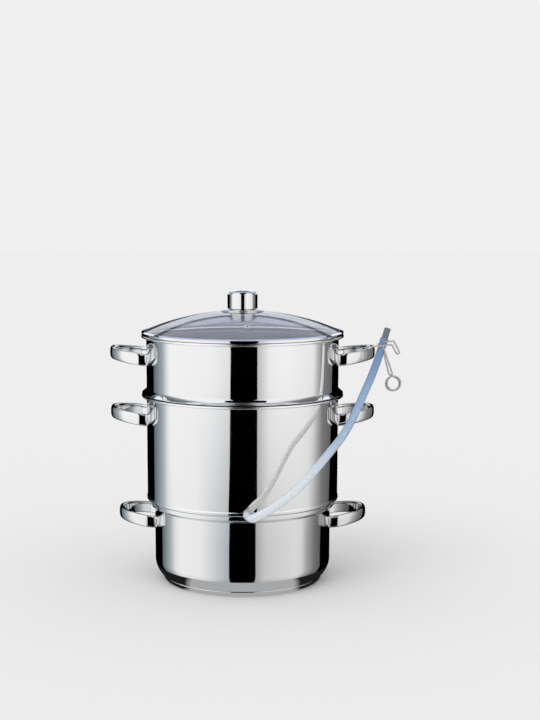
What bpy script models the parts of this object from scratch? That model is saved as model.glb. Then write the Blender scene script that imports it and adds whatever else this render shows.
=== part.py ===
"""Three tier steam juicer: water pan, juice kettle with outlet hose, steam basket and glass lid.

The tiers stand on each other and lift straight off. Each tier is modelled from its own seat, on an
empty that carries it, and every seat is worked out from the tier below it.
"""

import math

import bmesh
import bpy
from mathutils import Matrix, Vector

# Fits and fineness that all pieces share
CLEARANCE = 0.0003
GLASS_CLEARANCE = 0.0005
CUT_OVERRUN = 0.004
MERGE_DISTANCE = 0.00001
ROUND_STEPS = 40
MIDDLE_STEPS = 24
SMALL_STEPS = 16

# Pressed steel of the three vessels
SHEET = 0.0007
LIP_EDGE_BEND = 0.0013
LIP_ROOT_BEND = 0.0025
PRESS_BEND = 0.0015

# Water pan
PAN_INNER_RADIUS = 0.1200
PAN_HEIGHT = 0.1128
PAN_CORNER_RADIUS = 0.0280
PAN_LIP_REACH = 0.0068
PAN_LIP_DEPTH = 0.0053
PAN_HANDLE_DROP = 0.0110

# Sandwich base of the pan
BASE_INSET = 0.0157
BASE_SHEET = 0.0008
BASE_BEND = 0.0030
BASE_CORE_THICKNESS = 0.0052

# Juice kettle
KETTLE_INNER_RADIUS = 0.1300
KETTLE_HEIGHT = 0.1444
KETTLE_LIP_REACH = 0.0068
KETTLE_LIP_DEPTH = 0.0045
KETTLE_BEAD_REACH = 0.0006
KETTLE_BEAD_LOW = 0.0025
KETTLE_BEAD_HEIGHT = 0.0026
KETTLE_FIT = 0.0005
KETTLE_TROUGH_DEPTH = 0.0063
KETTLE_HANDLE_DROP = 0.0160

# Steam funnel in the middle of the kettle
FUNNEL_BASE_RADIUS = 0.0560
FUNNEL_TOP_RADIUS = 0.0300
FUNNEL_FLANGE = 0.0060
FUNNEL_HEADROOM = 0.0090

# Juice outlet, a straight stub that leaves the wall at a slant towards the right
SPOUT_RADIUS = 0.0040
SPOUT_BORE = 0.0029
SPOUT_RIGHT = 0.0054
SPOUT_RISE = 0.0041
SPOUT_INSIDE = 0.0030
SPOUT_LENGTH = 0.0180
SPOUT_SLANT = math.radians(52)
SPOUT_BARB = 0.0005
SPOUT_BARB_SHARES = (0.62, 0.72, 0.92)

# Steam basket
BASKET_INNER_RADIUS = 0.1300
BASKET_HEIGHT = 0.0802
BASKET_LIP_REACH = 0.0068
BASKET_LIP_DEPTH = 0.0036
BASKET_FLARE_REACH = 0.0070
BASKET_FLARE_HEIGHT = 0.0094
BASKET_FLARE_EDGE = 0.0024
BASKET_FLARE_SHARES = ((0.22, 0.64), (0.82, 0.14))
BASKET_FIT = 0.0006
BASKET_FLOOR_DEPTH = 0.0138
BASKET_HANDLE_DROP = 0.0157

# Steam holes in the basket's floor
HOLE_RADIUS = 0.0020
HOLE_RING_STEP = 0.0320
HOLE_RINGS = 3
HOLES_IN_FIRST_RING = 6
HOLE_SIDES = 6

# Handles, one shape for all tiers
HANDLE_REACH = 0.0505
HANDLE_HALF_WIDTH = 0.0488
HANDLE_HEIGHT = 0.0216
HANDLE_THICKNESS = 0.0060
HANDLE_CORNER_RADIUS = 0.0350
HANDLE_ROOT_BEND = 0.0080
HANDLE_EDGE = 0.0018
HANDLE_EDGE_SHARE = 0.7
HANDLE_CORNER_STEPS = 5
HANDLE_ROOT_STEPS = 3
HANDLE_FOOT_STEPS = 3
HANDLE_FOOT_LENGTH = 0.0180
HANDLE_FOOT_THICKNESS = 0.0024
HANDLE_FOOT_HEIGHT = 0.0156
HANDLE_TIP_LENGTH = 0.0016
HANDLE_TIP_HEIGHT = 0.0100

# Lid glass
GLASS_EDGE_INSET = 0.0002
GLASS_CROWN = 0.0268
GLASS_THICKNESS = 0.0040
GLASS_BORE = 0.0042
GLASS_STEPS = 5

# Steel band round the glass
BAND_SHEET = 0.0006
BAND_FOLD = 0.0045
BAND_BEND = 0.0012
LID_FIT = 0.0013
LID_SKIRT_DEPTH = 0.0060

# Knob with its dish, screw, gasket and washer
DISH_RADIUS = 0.0290
DISH_FLAT_RADIUS = 0.0215
DISH_RISE = 0.0030
DISH_SHEET = 0.0010
DISH_STEPS = 3
KNOB_RADIUS = 0.0205
KNOB_FOOT_RADIUS = 0.0196
KNOB_HEIGHT = 0.0250
KNOB_CROWN = 0.0022
KNOB_EDGE_BEND = 0.0034
KNOB_BORE_DEPTH = 0.0120
SCREW_RADIUS = 0.0024
SCREW_FIT = 0.0005
SCREW_HEAD_RADIUS = 0.0048
SCREW_HEAD_FLAT_RADIUS = 0.0029
SCREW_HEAD_HEIGHT = 0.0026
WASHER_RADIUS = 0.0085
WASHER_THICKNESS = 0.0010
GASKET_RADIUS = 0.0095
GASKET_THICKNESS = 0.0015

# Steam vent eyelet in the glass
VENT_EDGE_DISTANCE = 0.0421
VENT_AZIMUTH = math.radians(-86.2)
EYELET_RADIUS = 0.0048
EYELET_BARREL_RADIUS = 0.0035
EYELET_BORE = 0.0020
EYELET_FLANGE = 0.0008

# Outlet hose, as points on its middle line, from the kettle's seat upwards
HOSE_RADIUS = 0.0055
HOSE_POINT_SPACING = 0.0220
HOSE_ROUTE = (
    (0.0107, -0.1352, 0.0041),
    (0.0194, -0.1413, 0.0048),
    (0.0288, -0.1464, 0.0082),
    (0.0396, -0.1499, 0.0148),
    (0.0623, -0.1515, 0.0341),
    (0.0873, -0.1450, 0.0582),
    (0.1103, -0.1275, 0.0818),
    (0.1314, -0.1000, 0.1028),
    (0.1490, -0.0715, 0.1271),
    (0.1611, -0.0585, 0.1513),
    (0.1715, -0.0515, 0.1737),
    (0.1803, -0.0460, 0.1962),
    (0.1862, -0.0425, 0.2143),
    (0.1890, -0.0410, 0.2229),
)
CLAMPED_POINT = 12

# Nozzle in the free end of the hose
NOZZLE_RADIUS = 0.00435
NOZZLE_BORE = 0.0028
NOZZLE_GRIP = 0.0060
NOZZLE_REACH = 0.0145
NOZZLE_ROUNDING = 0.0016

# Wire clamp
WIRE_RADIUS = 0.0011
CLAMP_GAP = 0.0005
COIL_RADIUS = 0.0095
COIL_TURNS = 1.8
COIL_TURN_POINTS = 10
GAP_SAMPLES = 4
COIL_GAP = 0.0009
COIL_START = math.radians(50)
COIL_NECK = 0.0036
ARM_LENGTH = 0.0440
ARM_SPACING = 0.0042
ARM_TILT = math.radians(16.5)
JAW_TILT = math.radians(6)
JAW_LEFT = 0.0245
JAW_RIGHT = 0.0118
JAW_RISE = 0.0010
REAR_JAW_LEFT = 0.0060
TAB_LENGTH = 0.0125
TAB_WIDTH = 0.0046
TAB_BEND_STEPS = 4
TAB_TURN = math.radians(62)
TAB_RETURN = 0.0125

STEEL = (0.78, 0.78, 0.79)
WIRE_STEEL = (0.62, 0.62, 0.60)
ALUMINIUM = (0.70, 0.71, 0.72)
SILICONE = (0.62, 0.70, 0.82)
GREY_PLASTIC = (0.55, 0.56, 0.60)
DARK_RUBBER = (0.10, 0.10, 0.11)
GLASS_TINT = (0.80, 0.84, 0.88)

PAN_OUTER_RADIUS = PAN_INNER_RADIUS + SHEET
KETTLE_OUTER_RADIUS = KETTLE_INNER_RADIUS + SHEET
BASKET_OUTER_RADIUS = BASKET_INNER_RADIUS + SHEET
BASE_RADIUS = PAN_OUTER_RADIUS - BASE_INSET
BASE_TOP = BASE_SHEET + CLEARANCE + BASE_CORE_THICKNESS + CLEARANCE
KETTLE_SEAT = PAN_HEIGHT + CLEARANCE
BASKET_SEAT = KETTLE_HEIGHT + CLEARANCE
LID_SEAT = BASKET_HEIGHT + CLEARANCE
GLASS_HALF = GLASS_THICKNESS / 2
GLASS_RADIUS = BASKET_OUTER_RADIUS + BASKET_LIP_REACH - GLASS_EDGE_INSET
VENT_DISTANCE = GLASS_RADIUS - VENT_EDGE_DISTANCE
DOME_RADIUS = (GLASS_RADIUS ** 2 + GLASS_CROWN ** 2) / (2 * GLASS_CROWN)
DOME_EDGE_ANGLE = math.asin(GLASS_RADIUS / DOME_RADIUS)
GLASS_EDGE_HEIGHT = BAND_SHEET + CLEARANCE + GLASS_HALF * math.cos(DOME_EDGE_ANGLE)
DOME_CENTRE_HEIGHT = GLASS_EDGE_HEIGHT + GLASS_CROWN - DOME_RADIUS


def clear_scene():
    for item in list(bpy.data.objects):
        bpy.data.objects.remove(item, do_unlink=True)


def new_collection(name):
    collection = bpy.data.collections.new(name)
    bpy.context.scene.collection.children.link(collection)
    return collection


def new_material(name, colour, roughness, metallic, transmission=0.0):
    material = bpy.data.materials.new(name)
    material.use_nodes = True
    shader = material.node_tree.nodes["Principled BSDF"]
    shader.inputs["Base Color"].default_value = (*colour, 1.0)
    shader.inputs["Roughness"].default_value = roughness
    shader.inputs["Metallic"].default_value = metallic
    shader.inputs["Transmission Weight"].default_value = transmission
    return material


def new_rig(name, place, parent=None):
    """An empty on a moving piece's axis, which carries the piece."""
    rig = bpy.data.objects.new(name, None)
    parts.objects.link(rig)
    rig.parent = parent
    rig.location = place
    return rig


def place_object(name, data, material, rig, collection=None):
    item = bpy.data.objects.new(name, data)
    (collection or parts).objects.link(item)
    item.parent = rig
    if material:
        data.materials.clear()
        data.materials.append(material)
    return item


def make_guide(item):
    item.hide_render = True
    item.display_type = "WIRE"
    return item


def shade_round(mesh):
    mesh.shade_smooth()
    mesh.set_sharp_from_angle(angle=math.radians(35))


def arc(centre, radius, start, end, steps):
    """Points along an arc in a profile, angles in degrees from the +radius direction."""
    points = []
    for step in range(steps + 1):
        angle = math.radians(start + (end - start) * step / steps)
        points.append((centre[0] + radius * math.cos(angle), centre[1] + radius * math.sin(angle)))
    return points


def turned(name, profile, material, rig, sheet=0.0, steps=ROUND_STEPS, closed=False, collection=None):
    """A profile turned about the axis, either a solid's outline or the middle line of a sheet."""
    count = len(profile)
    edges = [(index, index + 1) for index in range(count - 1)]
    if closed:
        edges.append((count - 1, 0))
    mesh = bpy.data.meshes.new(name)
    mesh.from_pydata([(radius, 0, height) for radius, height in profile], edges, [])
    item = place_object(name, mesh, material, rig, collection)
    screw = item.modifiers.new("turn", "SCREW")
    screw.angle = math.tau
    screw.steps = steps
    screw.render_steps = steps
    screw.use_merge_vertices = True
    screw.merge_threshold = MERGE_DISTANCE
    screw.use_smooth_shade = True
    if sheet:
        wall = item.modifiers.new("wall", "SOLIDIFY")
        wall.thickness = sheet
        wall.offset = 0
        wall.use_even_offset = True
    return item


def applied(item):
    """The same object with its modifiers made part of its mesh."""
    view = bpy.context.evaluated_depsgraph_get()
    mesh = bpy.data.meshes.new_from_object(item.evaluated_get(view), depsgraph=view)
    item.modifiers.clear()
    old = item.data
    item.data = mesh
    bpy.data.meshes.remove(old)
    shade_round(mesh)
    return item


def tube(name, points, radius, material, rig, resolution=2, collection=None):
    """A round bar along points, as a closed mesh object."""
    curve = bpy.data.curves.new(name, "CURVE")
    curve.dimensions = "3D"
    curve.bevel_depth = radius
    curve.bevel_resolution = resolution
    curve.use_fill_caps = True
    spline = curve.splines.new("POLY")
    spline.points.add(len(points) - 1)
    for target, point in zip(spline.points, points):
        target.co = (*point, 1)
    rod = place_object(name + "_line", curve, None, rig, collection)
    bpy.context.view_layer.update()
    view = bpy.context.evaluated_depsgraph_get()
    mesh = bpy.data.meshes.new_from_object(rod.evaluated_get(view), depsgraph=view)
    work = bmesh.new()
    work.from_mesh(mesh)
    bmesh.ops.remove_doubles(work, verts=work.verts, dist=MERGE_DISTANCE)
    bmesh.ops.recalc_face_normals(work, faces=work.faces)
    work.to_mesh(mesh)
    work.free()
    shade_round(mesh)
    item = place_object(name, mesh, material, rig, collection)
    item.matrix_world = rod.matrix_world
    bpy.data.objects.remove(rod, do_unlink=True)
    return item


def join_or_cut(item, other, operation):
    """A Boolean of two objects, which stays on the first."""
    step = item.modifiers.new(operation.lower(), "BOOLEAN")
    step.operation = operation
    step.solver = "EXACT"
    step.object = other


def lip(wall, reach, top, depth):
    """Middle line of a rim that is turned out and down, from its free edge to the wall."""
    edge = wall + reach
    crest = top - SHEET / 2
    points = [(edge, top - depth)]
    points += arc((edge - LIP_EDGE_BEND, crest - LIP_EDGE_BEND), LIP_EDGE_BEND, 0, 90, 1)
    points += arc((wall + LIP_ROOT_BEND, crest - LIP_ROOT_BEND), LIP_ROOT_BEND, 90, 180, 2)
    return points


def pan_underside(radius):
    """Height of the outside of the pan's rounded corner."""
    across = radius - (PAN_OUTER_RADIUS - PAN_CORNER_RADIUS)
    return BASE_TOP + PAN_CORNER_RADIUS - math.sqrt(PAN_CORNER_RADIUS ** 2 - across ** 2)


def make_pan(rig):
    wall = PAN_INNER_RADIUS + SHEET / 2
    bend = PAN_CORNER_RADIUS - SHEET / 2
    centre = (wall - bend, BASE_TOP + PAN_CORNER_RADIUS)
    profile = lip(wall, PAN_LIP_REACH, PAN_HEIGHT, PAN_LIP_DEPTH)
    profile += arc(centre, bend, 0, -90, 4)
    profile.append((0, BASE_TOP + SHEET / 2))
    turned("pan_body", profile, polished_steel, rig, SHEET)

    middle = BASE_RADIUS - BASE_SHEET / 2
    bend = BASE_BEND - BASE_SHEET / 2
    rim = pan_underside(BASE_RADIUS - BASE_SHEET) - CLEARANCE
    cap = [(middle, rim)]
    cap += arc((middle - bend, BASE_BEND), bend, 0, -90, 2)
    cap.append((0, BASE_SHEET / 2))
    turned("pan_base_cap", cap, satin_steel, rig, BASE_SHEET)

    edge = BASE_RADIUS - BASE_BEND
    low = BASE_SHEET + CLEARANCE
    high = low + BASE_CORE_THICKNESS
    core = [(0, high), (edge, high), (edge, low), (0, low)]
    turned("pan_base_core", core, aluminium, rig)


def handle_stations(wall):
    """Middle line of half a handle in plan, with its normal, half thickness and half height."""
    half = HANDLE_THICKNESS / 2
    tall = HANDLE_HEIGHT / 2
    side = HANDLE_HALF_WIDTH - half
    bend = HANDLE_CORNER_RADIUS - half
    corner = Vector((wall + HANDLE_REACH - half - bend, -(side - bend)))
    stations = [(Vector((corner.x + bend, 0)), Vector((1, 0)), half, tall)]
    for step in range(HANDLE_CORNER_STEPS + 1):
        angle = -math.pi / 2 * step / HANDLE_CORNER_STEPS
        normal = Vector((math.cos(angle), math.sin(angle)))
        stations.append((corner + normal * bend, normal, half, tall))
    ring = wall + CLEARANCE + half
    root_y = side + HANDLE_ROOT_BEND
    root_x = math.sqrt((ring + HANDLE_ROOT_BEND) ** 2 - root_y ** 2)
    root = Vector((root_x, -root_y))
    inward = math.atan2(root_y, -root_x)
    for step in range(HANDLE_ROOT_STEPS + 1):
        angle = math.pi / 2 + (inward - math.pi / 2) * step / HANDLE_ROOT_STEPS
        outward = Vector((math.cos(angle), math.sin(angle)))
        stations.append((root + outward * HANDLE_ROOT_BEND, -outward, half, tall))
    start = math.atan2(-root_y, root_x)
    for step in range(1, HANDLE_FOOT_STEPS + 1):
        share = step / HANDLE_FOOT_STEPS
        angle = start - HANDLE_FOOT_LENGTH * share / ring
        thin = half + (HANDLE_FOOT_THICKNESS / 2 - half) * share
        low = tall + (HANDLE_FOOT_HEIGHT / 2 - tall) * share
        outward = Vector((math.cos(angle), math.sin(angle)))
        stations.append((outward * (wall + CLEARANCE + thin), outward, thin, low))
    thin = HANDLE_FOOT_THICKNESS / 2
    angle -= HANDLE_TIP_LENGTH / ring
    outward = Vector((math.cos(angle), math.sin(angle)))
    stations.append((outward * (wall + CLEARANCE + thin), outward, thin, HANDLE_TIP_HEIGHT / 2))
    return stations


def handle_mesh(name, wall):
    """Half a strap handle, lofted through its stations and left open at the middle plane."""
    mesh = bpy.data.meshes.new(name)
    work = bmesh.new()
    rings = []
    for point, normal, thin, tall in handle_stations(wall):
        edge = min(HANDLE_EDGE, thin * HANDLE_EDGE_SHARE)
        outline = (
            (thin, tall - edge), (thin - edge, tall), (edge - thin, tall), (-thin, tall - edge),
            (-thin, edge - tall), (edge - thin, -tall), (thin - edge, -tall), (thin, edge - tall),
        )
        ring = []
        for out, up in outline:
            spot = point + normal * out
            ring.append(work.verts.new((spot.x, spot.y, up)))
        rings.append(ring)
    for first, second in zip(rings, rings[1:]):
        for index in range(len(first)):
            after = (index + 1) % len(first)
            work.faces.new((first[index], first[after], second[after], second[index]))
    work.faces.new(rings[-1])
    middle = work.faces.new(list(reversed(rings[0])))
    bmesh.ops.recalc_face_normals(work, faces=work.faces)
    bmesh.ops.delete(work, geom=[middle], context="FACES_ONLY")
    work.to_mesh(mesh)
    work.free()
    shade_round(mesh)
    return mesh


def make_handles(tier, wall, height, rig):
    mesh = handle_mesh(tier + "_handle", wall)
    for side, turn in (("right", 0), ("left", math.pi)):
        item = place_object(f"{tier}_handle_{side}", mesh, polished_steel, rig)
        item.location = (0, 0, height - HANDLE_HEIGHT / 2)
        item.rotation_euler = (0, 0, turn)
        mirror = item.modifiers.new("other_half", "MIRROR")
        mirror.use_axis = (False, True, False)
        mirror.merge_threshold = MERGE_DISTANCE


def spout_frame():
    """Where the outlet's axis meets the wall, and the way it points."""
    back = math.sqrt(KETTLE_OUTER_RADIUS ** 2 - SPOUT_RIGHT ** 2)
    start = Vector((SPOUT_RIGHT, -back, SPOUT_RISE))
    along = Vector((math.sin(SPOUT_SLANT), -math.cos(SPOUT_SLANT), 0))
    return start, along


def lay_along(item, start, along):
    """Turns an object's own Z axis to a direction and sets it at a point of its rig's frame."""
    turn = along.to_track_quat("Z", "Y").to_matrix().to_4x4()
    item.matrix_basis = Matrix.Translation(start) @ turn


def make_kettle(rig):
    wall = KETTLE_INNER_RADIUS + SHEET / 2
    skirt = PAN_INNER_RADIUS - KETTLE_FIT - SHEET / 2
    seat = SHEET / 2
    floor = seat - KETTLE_TROUGH_DEPTH
    bead = wall + KETTLE_BEAD_REACH
    bead_top = KETTLE_BEAD_LOW + KETTLE_BEAD_HEIGHT
    profile = lip(wall, KETTLE_LIP_REACH, KETTLE_HEIGHT, KETTLE_LIP_DEPTH)
    profile += [(wall, bead_top + KETTLE_BEAD_REACH), (bead, bead_top), (bead, KETTLE_BEAD_LOW)]
    profile += arc((bead - PRESS_BEND, seat + PRESS_BEND), PRESS_BEND, -30, -90, 1)
    profile += arc((skirt + PRESS_BEND, seat - PRESS_BEND), PRESS_BEND, 90, 180, 1)
    profile += arc((skirt - PRESS_BEND, floor + PRESS_BEND), PRESS_BEND, 0, -90, 1)
    profile.append((FUNNEL_BASE_RADIUS, floor))
    body = turned("kettle_body", profile, polished_steel, rig, SHEET)

    start, along = spout_frame()
    reach = SPOUT_LENGTH + CUT_OVERRUN
    bore = turned(
        "spout_hole",
        [(0, reach), (SPOUT_RADIUS + CLEARANCE, reach), (SPOUT_RADIUS + CLEARANCE, -reach), (0, -reach)],
        None, rig, steps=SMALL_STEPS, collection=cutters,
    )
    lay_along(make_guide(bore), start, along)
    join_or_cut(body, bore, "DIFFERENCE")

    base = floor + SHEET + CLEARANCE
    top = BASKET_SEAT - BASKET_FLOOR_DEPTH - FUNNEL_HEADROOM
    funnel = [(FUNNEL_TOP_RADIUS, top), (FUNNEL_BASE_RADIUS, base + PRESS_BEND)]
    funnel += [(FUNNEL_BASE_RADIUS + PRESS_BEND, base), (FUNNEL_BASE_RADIUS + FUNNEL_FLANGE, base)]
    turned("kettle_funnel", funnel, satin_steel, rig, SHEET, steps=MIDDLE_STEPS)

    outside = SPOUT_LENGTH - SPOUT_INSIDE
    low, peak, high = (outside * share for share in SPOUT_BARB_SHARES)
    stub = [
        (SPOUT_BORE, outside), (SPOUT_RADIUS, outside), (SPOUT_RADIUS, high),
        (SPOUT_RADIUS + SPOUT_BARB, peak), (SPOUT_RADIUS, low),
        (SPOUT_RADIUS, -SPOUT_INSIDE), (SPOUT_BORE, -SPOUT_INSIDE),
    ]
    spout = turned("kettle_spout", stub, polished_steel, rig, steps=SMALL_STEPS, closed=True)
    lay_along(spout, start, along)


def through(points, spacing):
    """Points at even steps along a smooth curve through the given points."""
    ends = [2 * points[0] - points[1], *points, 2 * points[-1] - points[-2]]
    fine = []
    for index in range(1, len(ends) - 2):
        before, here, after, beyond = ends[index - 1:index + 3]
        for step in range(12):
            share = step / 12
            fine.append(
                (2 * here + (after - before) * share
                 + (2 * before - 5 * here + 4 * after - beyond) * share ** 2
                 + (3 * here - before - 3 * after + beyond) * share ** 3) / 2
            )
    fine.append(points[-1])
    lengths = [0.0]
    for first, second in zip(fine, fine[1:]):
        lengths.append(lengths[-1] + (second - first).length)
    count = max(2, round(lengths[-1] / spacing))
    even = []
    index = 0
    for step in range(count + 1):
        goal = lengths[-1] * step / count
        while index < len(fine) - 2 and lengths[index + 1] < goal:
            index += 1
        share = (goal - lengths[index]) / (lengths[index + 1] - lengths[index])
        even.append(fine[index].lerp(fine[index + 1], min(share, 1)))
    return even


def make_hose(rig):
    route = [Vector(point) for point in HOSE_ROUTE]
    line = through(route, HOSE_POINT_SPACING)
    hose = tube("hose", line, HOSE_RADIUS, silicone, rig, resolution=3)

    start, along = spout_frame()
    grip = (SPOUT_LENGTH - SPOUT_INSIDE) + CLEARANCE
    wide = SPOUT_RADIUS + SPOUT_BARB + CLEARANCE
    socket = turned(
        "spout_socket", [(0, grip), (wide, grip), (wide, 0), (0, 0)],
        None, rig, steps=SMALL_STEPS, collection=cutters,
    )
    lay_along(make_guide(socket), start, along)
    join_or_cut(hose, socket, "DIFFERENCE")

    end = line[-1]
    outward = (line[-1] - line[-2]).normalized()
    wide = NOZZLE_RADIUS + CLEARANCE
    seat = -(NOZZLE_GRIP + CLEARANCE)
    mouth = turned(
        "nozzle_socket", [(0, CUT_OVERRUN), (wide, CUT_OVERRUN), (wide, seat), (0, seat)],
        None, rig, steps=SMALL_STEPS, collection=cutters,
    )
    lay_along(make_guide(mouth), end, outward)
    join_or_cut(hose, mouth, "DIFFERENCE")

    shoulder = NOZZLE_REACH - NOZZLE_ROUNDING
    nozzle = [(NOZZLE_BORE, NOZZLE_REACH)]
    nozzle += arc((NOZZLE_RADIUS - NOZZLE_ROUNDING, shoulder), NOZZLE_ROUNDING, 90, 0, 3)
    nozzle += [(NOZZLE_RADIUS, -NOZZLE_GRIP), (NOZZLE_BORE, -NOZZLE_GRIP)]
    tip = turned("hose_nozzle", nozzle, grey_plastic, rig, steps=SMALL_STEPS, closed=True)
    lay_along(tip, end, outward)


def clamp_layout():
    """Plan of the clamp around the hose: the crossing, the coil's middle and three directions."""
    crossing = Vector(HOSE_ROUTE[CLAMPED_POINT])
    down = Vector((math.sin(ARM_TILT), 0, -math.cos(ARM_TILT)))
    right = Vector((math.cos(JAW_TILT), 0, math.sin(JAW_TILT)))
    across = Vector((math.cos(ARM_TILT), 0, math.sin(ARM_TILT)))
    coil = crossing + down * (ARM_LENGTH + COIL_RADIUS)
    return crossing, coil, down, right, across


def coil_points(coil):
    """Points along the coil, from its rear end to its front end."""
    pitch = 2 * WIRE_RADIUS + COIL_GAP
    count = round(COIL_TURNS * COIL_TURN_POINTS)
    points = []
    for step in range(count + 1):
        angle = COIL_START - math.tau * COIL_TURNS * step / count
        depth = pitch * COIL_TURNS * (0.5 - step / count)
        offset = Vector((math.cos(angle) * COIL_RADIUS, depth, math.sin(angle) * COIL_RADIUS))
        points.append(coil + offset)
    return points


def least_gap(line, radius, run):
    """Least gap of a bar to itself, between places that are more than a run apart along it."""
    spots = []
    length = 0.0
    for first, second in zip(line, line[1:]):
        for step in range(GAP_SAMPLES):
            share = step / GAP_SAMPLES
            spots.append((length + (second - first).length * share, first.lerp(second, share)))
        length += (second - first).length
    distances = [
        (one - other).length
        for index, (along, one) in enumerate(spots)
        for further, other in spots[index + 1:]
        if further - along > run
    ]
    return min(distances) - 2 * radius


def make_clamp(rig):
    """One sprung wire, split at the front end of its coil so that the front jaw can open."""
    crossing, coil, down, right, across = clamp_layout()
    jaw_rig = new_rig("jaw_rig", coil, rig)
    turns = coil_points(coil)
    stand_off = Vector((0, HOSE_RADIUS + WIRE_RADIUS + CLAMP_GAP, 0))

    rear_top = crossing + stand_off - down * JAW_RISE
    rear_foot = crossing + down * (ARM_LENGTH - COIL_NECK) - across * (ARM_SPACING / 2)
    rear_foot.y = turns[0].y
    rear = [rear_top - right * REAR_JAW_LEFT, rear_top, *through([rear_top, rear_foot], ARM_LENGTH / 3)[1:]]
    rear += turns
    tube("clamp_rear_wire", rear, WIRE_RADIUS, wire_steel, rig, resolution=1)
    least = least_gap(rear, WIRE_RADIUS, math.pi * COIL_RADIUS)
    print("least gap of the clamp's coil to itself, mm:", round(least * 1000, 2))

    front_top = crossing - stand_off
    front_foot = crossing + down * (ARM_LENGTH - COIL_NECK) + across * (ARM_SPACING / 2)
    front_foot.y = turns[-1].y
    onward = (turns[-1] - turns[-2]).normalized()
    heel = [turns[-1] + onward * CLEARANCE, turns[-1] + onward * (CLEARANCE + WIRE_RADIUS)]
    arm = heel + list(reversed(through([front_top, front_foot], ARM_LENGTH / 3)))
    arm = [point - coil for point in arm]
    front_arm = tube("clamp_front_wire", arm, WIRE_RADIUS, wire_steel, jaw_rig, resolution=1)

    corner = front_top + right * JAW_RIGHT
    above = Vector((-math.sin(JAW_TILT), 0, math.cos(JAW_TILT)))
    fall = Vector((math.cos(TAB_TURN), 0, -math.sin(TAB_TURN)))
    beside = Vector((math.sin(TAB_TURN), 0, math.cos(TAB_TURN)))
    bend = TAB_WIDTH / 2
    bar = [front_top - right * JAW_LEFT, front_top, corner]
    for step in range(TAB_BEND_STEPS + 1):
        angle = math.pi * step / TAB_BEND_STEPS
        bar.append(
            corner + fall * (TAB_LENGTH + bend * math.sin(angle)) + beside * bend * (1 - math.cos(angle))
        )
    upper = corner + (above + beside) * (TAB_WIDTH / (1 + above.dot(beside)))
    bar += [upper, upper - right * TAB_RETURN]
    bar = [point - coil for point in bar]
    jaw = tube("clamp_bar", bar, WIRE_RADIUS, None, jaw_rig, resolution=1, collection=cutters)
    join_or_cut(front_arm, make_guide(jaw), "UNION")


def basket_holes(rig, floor):
    """All steam holes as one cutter."""
    mesh = bpy.data.meshes.new("steam_holes")
    work = bmesh.new()
    for ring in range(1, HOLE_RINGS + 1):
        count = HOLES_IN_FIRST_RING * ring
        for index in range(count):
            angle = math.tau * (index + 0.5) / count
            spot = Vector((math.cos(angle), math.sin(angle), 0)) * (HOLE_RING_STEP * ring)
            bmesh.ops.create_cone(
                work, cap_ends=True, segments=HOLE_SIDES, radius1=HOLE_RADIUS, radius2=HOLE_RADIUS,
                depth=2 * CUT_OVERRUN, matrix=Matrix.Translation(spot + Vector((0, 0, floor))),
            )
    work.to_mesh(mesh)
    work.free()
    return make_guide(place_object("steam_holes", mesh, None, rig, cutters))


def make_basket(rig):
    wall = BASKET_INNER_RADIUS + SHEET / 2
    skirt = KETTLE_INNER_RADIUS - BASKET_FIT - SHEET / 2
    seat = SHEET / 2
    floor = seat - BASKET_FLOOR_DEPTH
    edge = wall + BASKET_FLARE_REACH
    profile = lip(wall, BASKET_LIP_REACH, BASKET_HEIGHT, BASKET_LIP_DEPTH)
    profile.append((wall, BASKET_FLARE_HEIGHT))
    fall = BASKET_FLARE_HEIGHT - BASKET_FLARE_EDGE
    for out, up in BASKET_FLARE_SHARES:
        profile.append((wall + BASKET_FLARE_REACH * out, BASKET_FLARE_EDGE + fall * up))
    profile += arc((edge - PRESS_BEND / 2, seat + PRESS_BEND / 2), PRESS_BEND / 2, 0, -90, 1)
    profile += arc((skirt + PRESS_BEND, seat - PRESS_BEND), PRESS_BEND, 90, 180, 1)
    profile += arc((skirt - PRESS_BEND, floor + PRESS_BEND), PRESS_BEND, 0, -90, 1)
    profile.append((0, floor))
    body = applied(turned("basket_body", profile, polished_steel, rig, SHEET))
    join_or_cut(body, basket_holes(rig, floor), "DIFFERENCE")


def dome_height(radius, offset=0.0):
    """Height of the glass's middle surface, or of a surface beside it, above the lid's seat."""
    return DOME_CENTRE_HEIGHT + math.sqrt((DOME_RADIUS + offset) ** 2 - radius ** 2)


def make_lid(rig):
    profile = []
    for step in range(GLASS_STEPS + 1):
        radius = GLASS_BORE + (GLASS_RADIUS - GLASS_BORE) * step / GLASS_STEPS
        profile.append((radius, dome_height(radius)))
    glass = turned("lid_glass", profile, clear_glass, rig, GLASS_THICKNESS)

    outward = Vector((
        math.cos(VENT_AZIMUTH) * VENT_DISTANCE, math.sin(VENT_AZIMUTH) * VENT_DISTANCE,
        dome_height(VENT_DISTANCE) - DOME_CENTRE_HEIGHT,
    )).normalized()
    spot = Vector((0, 0, DOME_CENTRE_HEIGHT)) + outward * DOME_RADIUS
    wide = EYELET_BARREL_RADIUS + CLEARANCE
    deep = GLASS_HALF + CUT_OVERRUN
    hole = turned(
        "vent_hole", [(0, deep), (wide, deep), (wide, -deep), (0, -deep)],
        None, rig, steps=SMALL_STEPS, collection=cutters,
    )
    lay_along(make_guide(hole), spot, outward)
    join_or_cut(glass, hole, "DIFFERENCE")

    inner = GLASS_HALF + GLASS_CLEARANCE
    outer = inner + EYELET_FLANGE
    eyelet = [
        (EYELET_BORE, outer), (EYELET_RADIUS - EYELET_FLANGE / 2, outer), (EYELET_RADIUS, inner),
        (EYELET_BARREL_RADIUS, inner), (EYELET_BARREL_RADIUS, -inner),
        (EYELET_RADIUS, -inner), (EYELET_RADIUS - EYELET_FLANGE / 2, -outer), (EYELET_BORE, -outer),
    ]
    lay_along(turned("vent_eyelet", eyelet, polished_steel, rig, steps=SMALL_STEPS, closed=True), spot, outward)
    make_band(rig)
    make_knob(rig)


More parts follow.
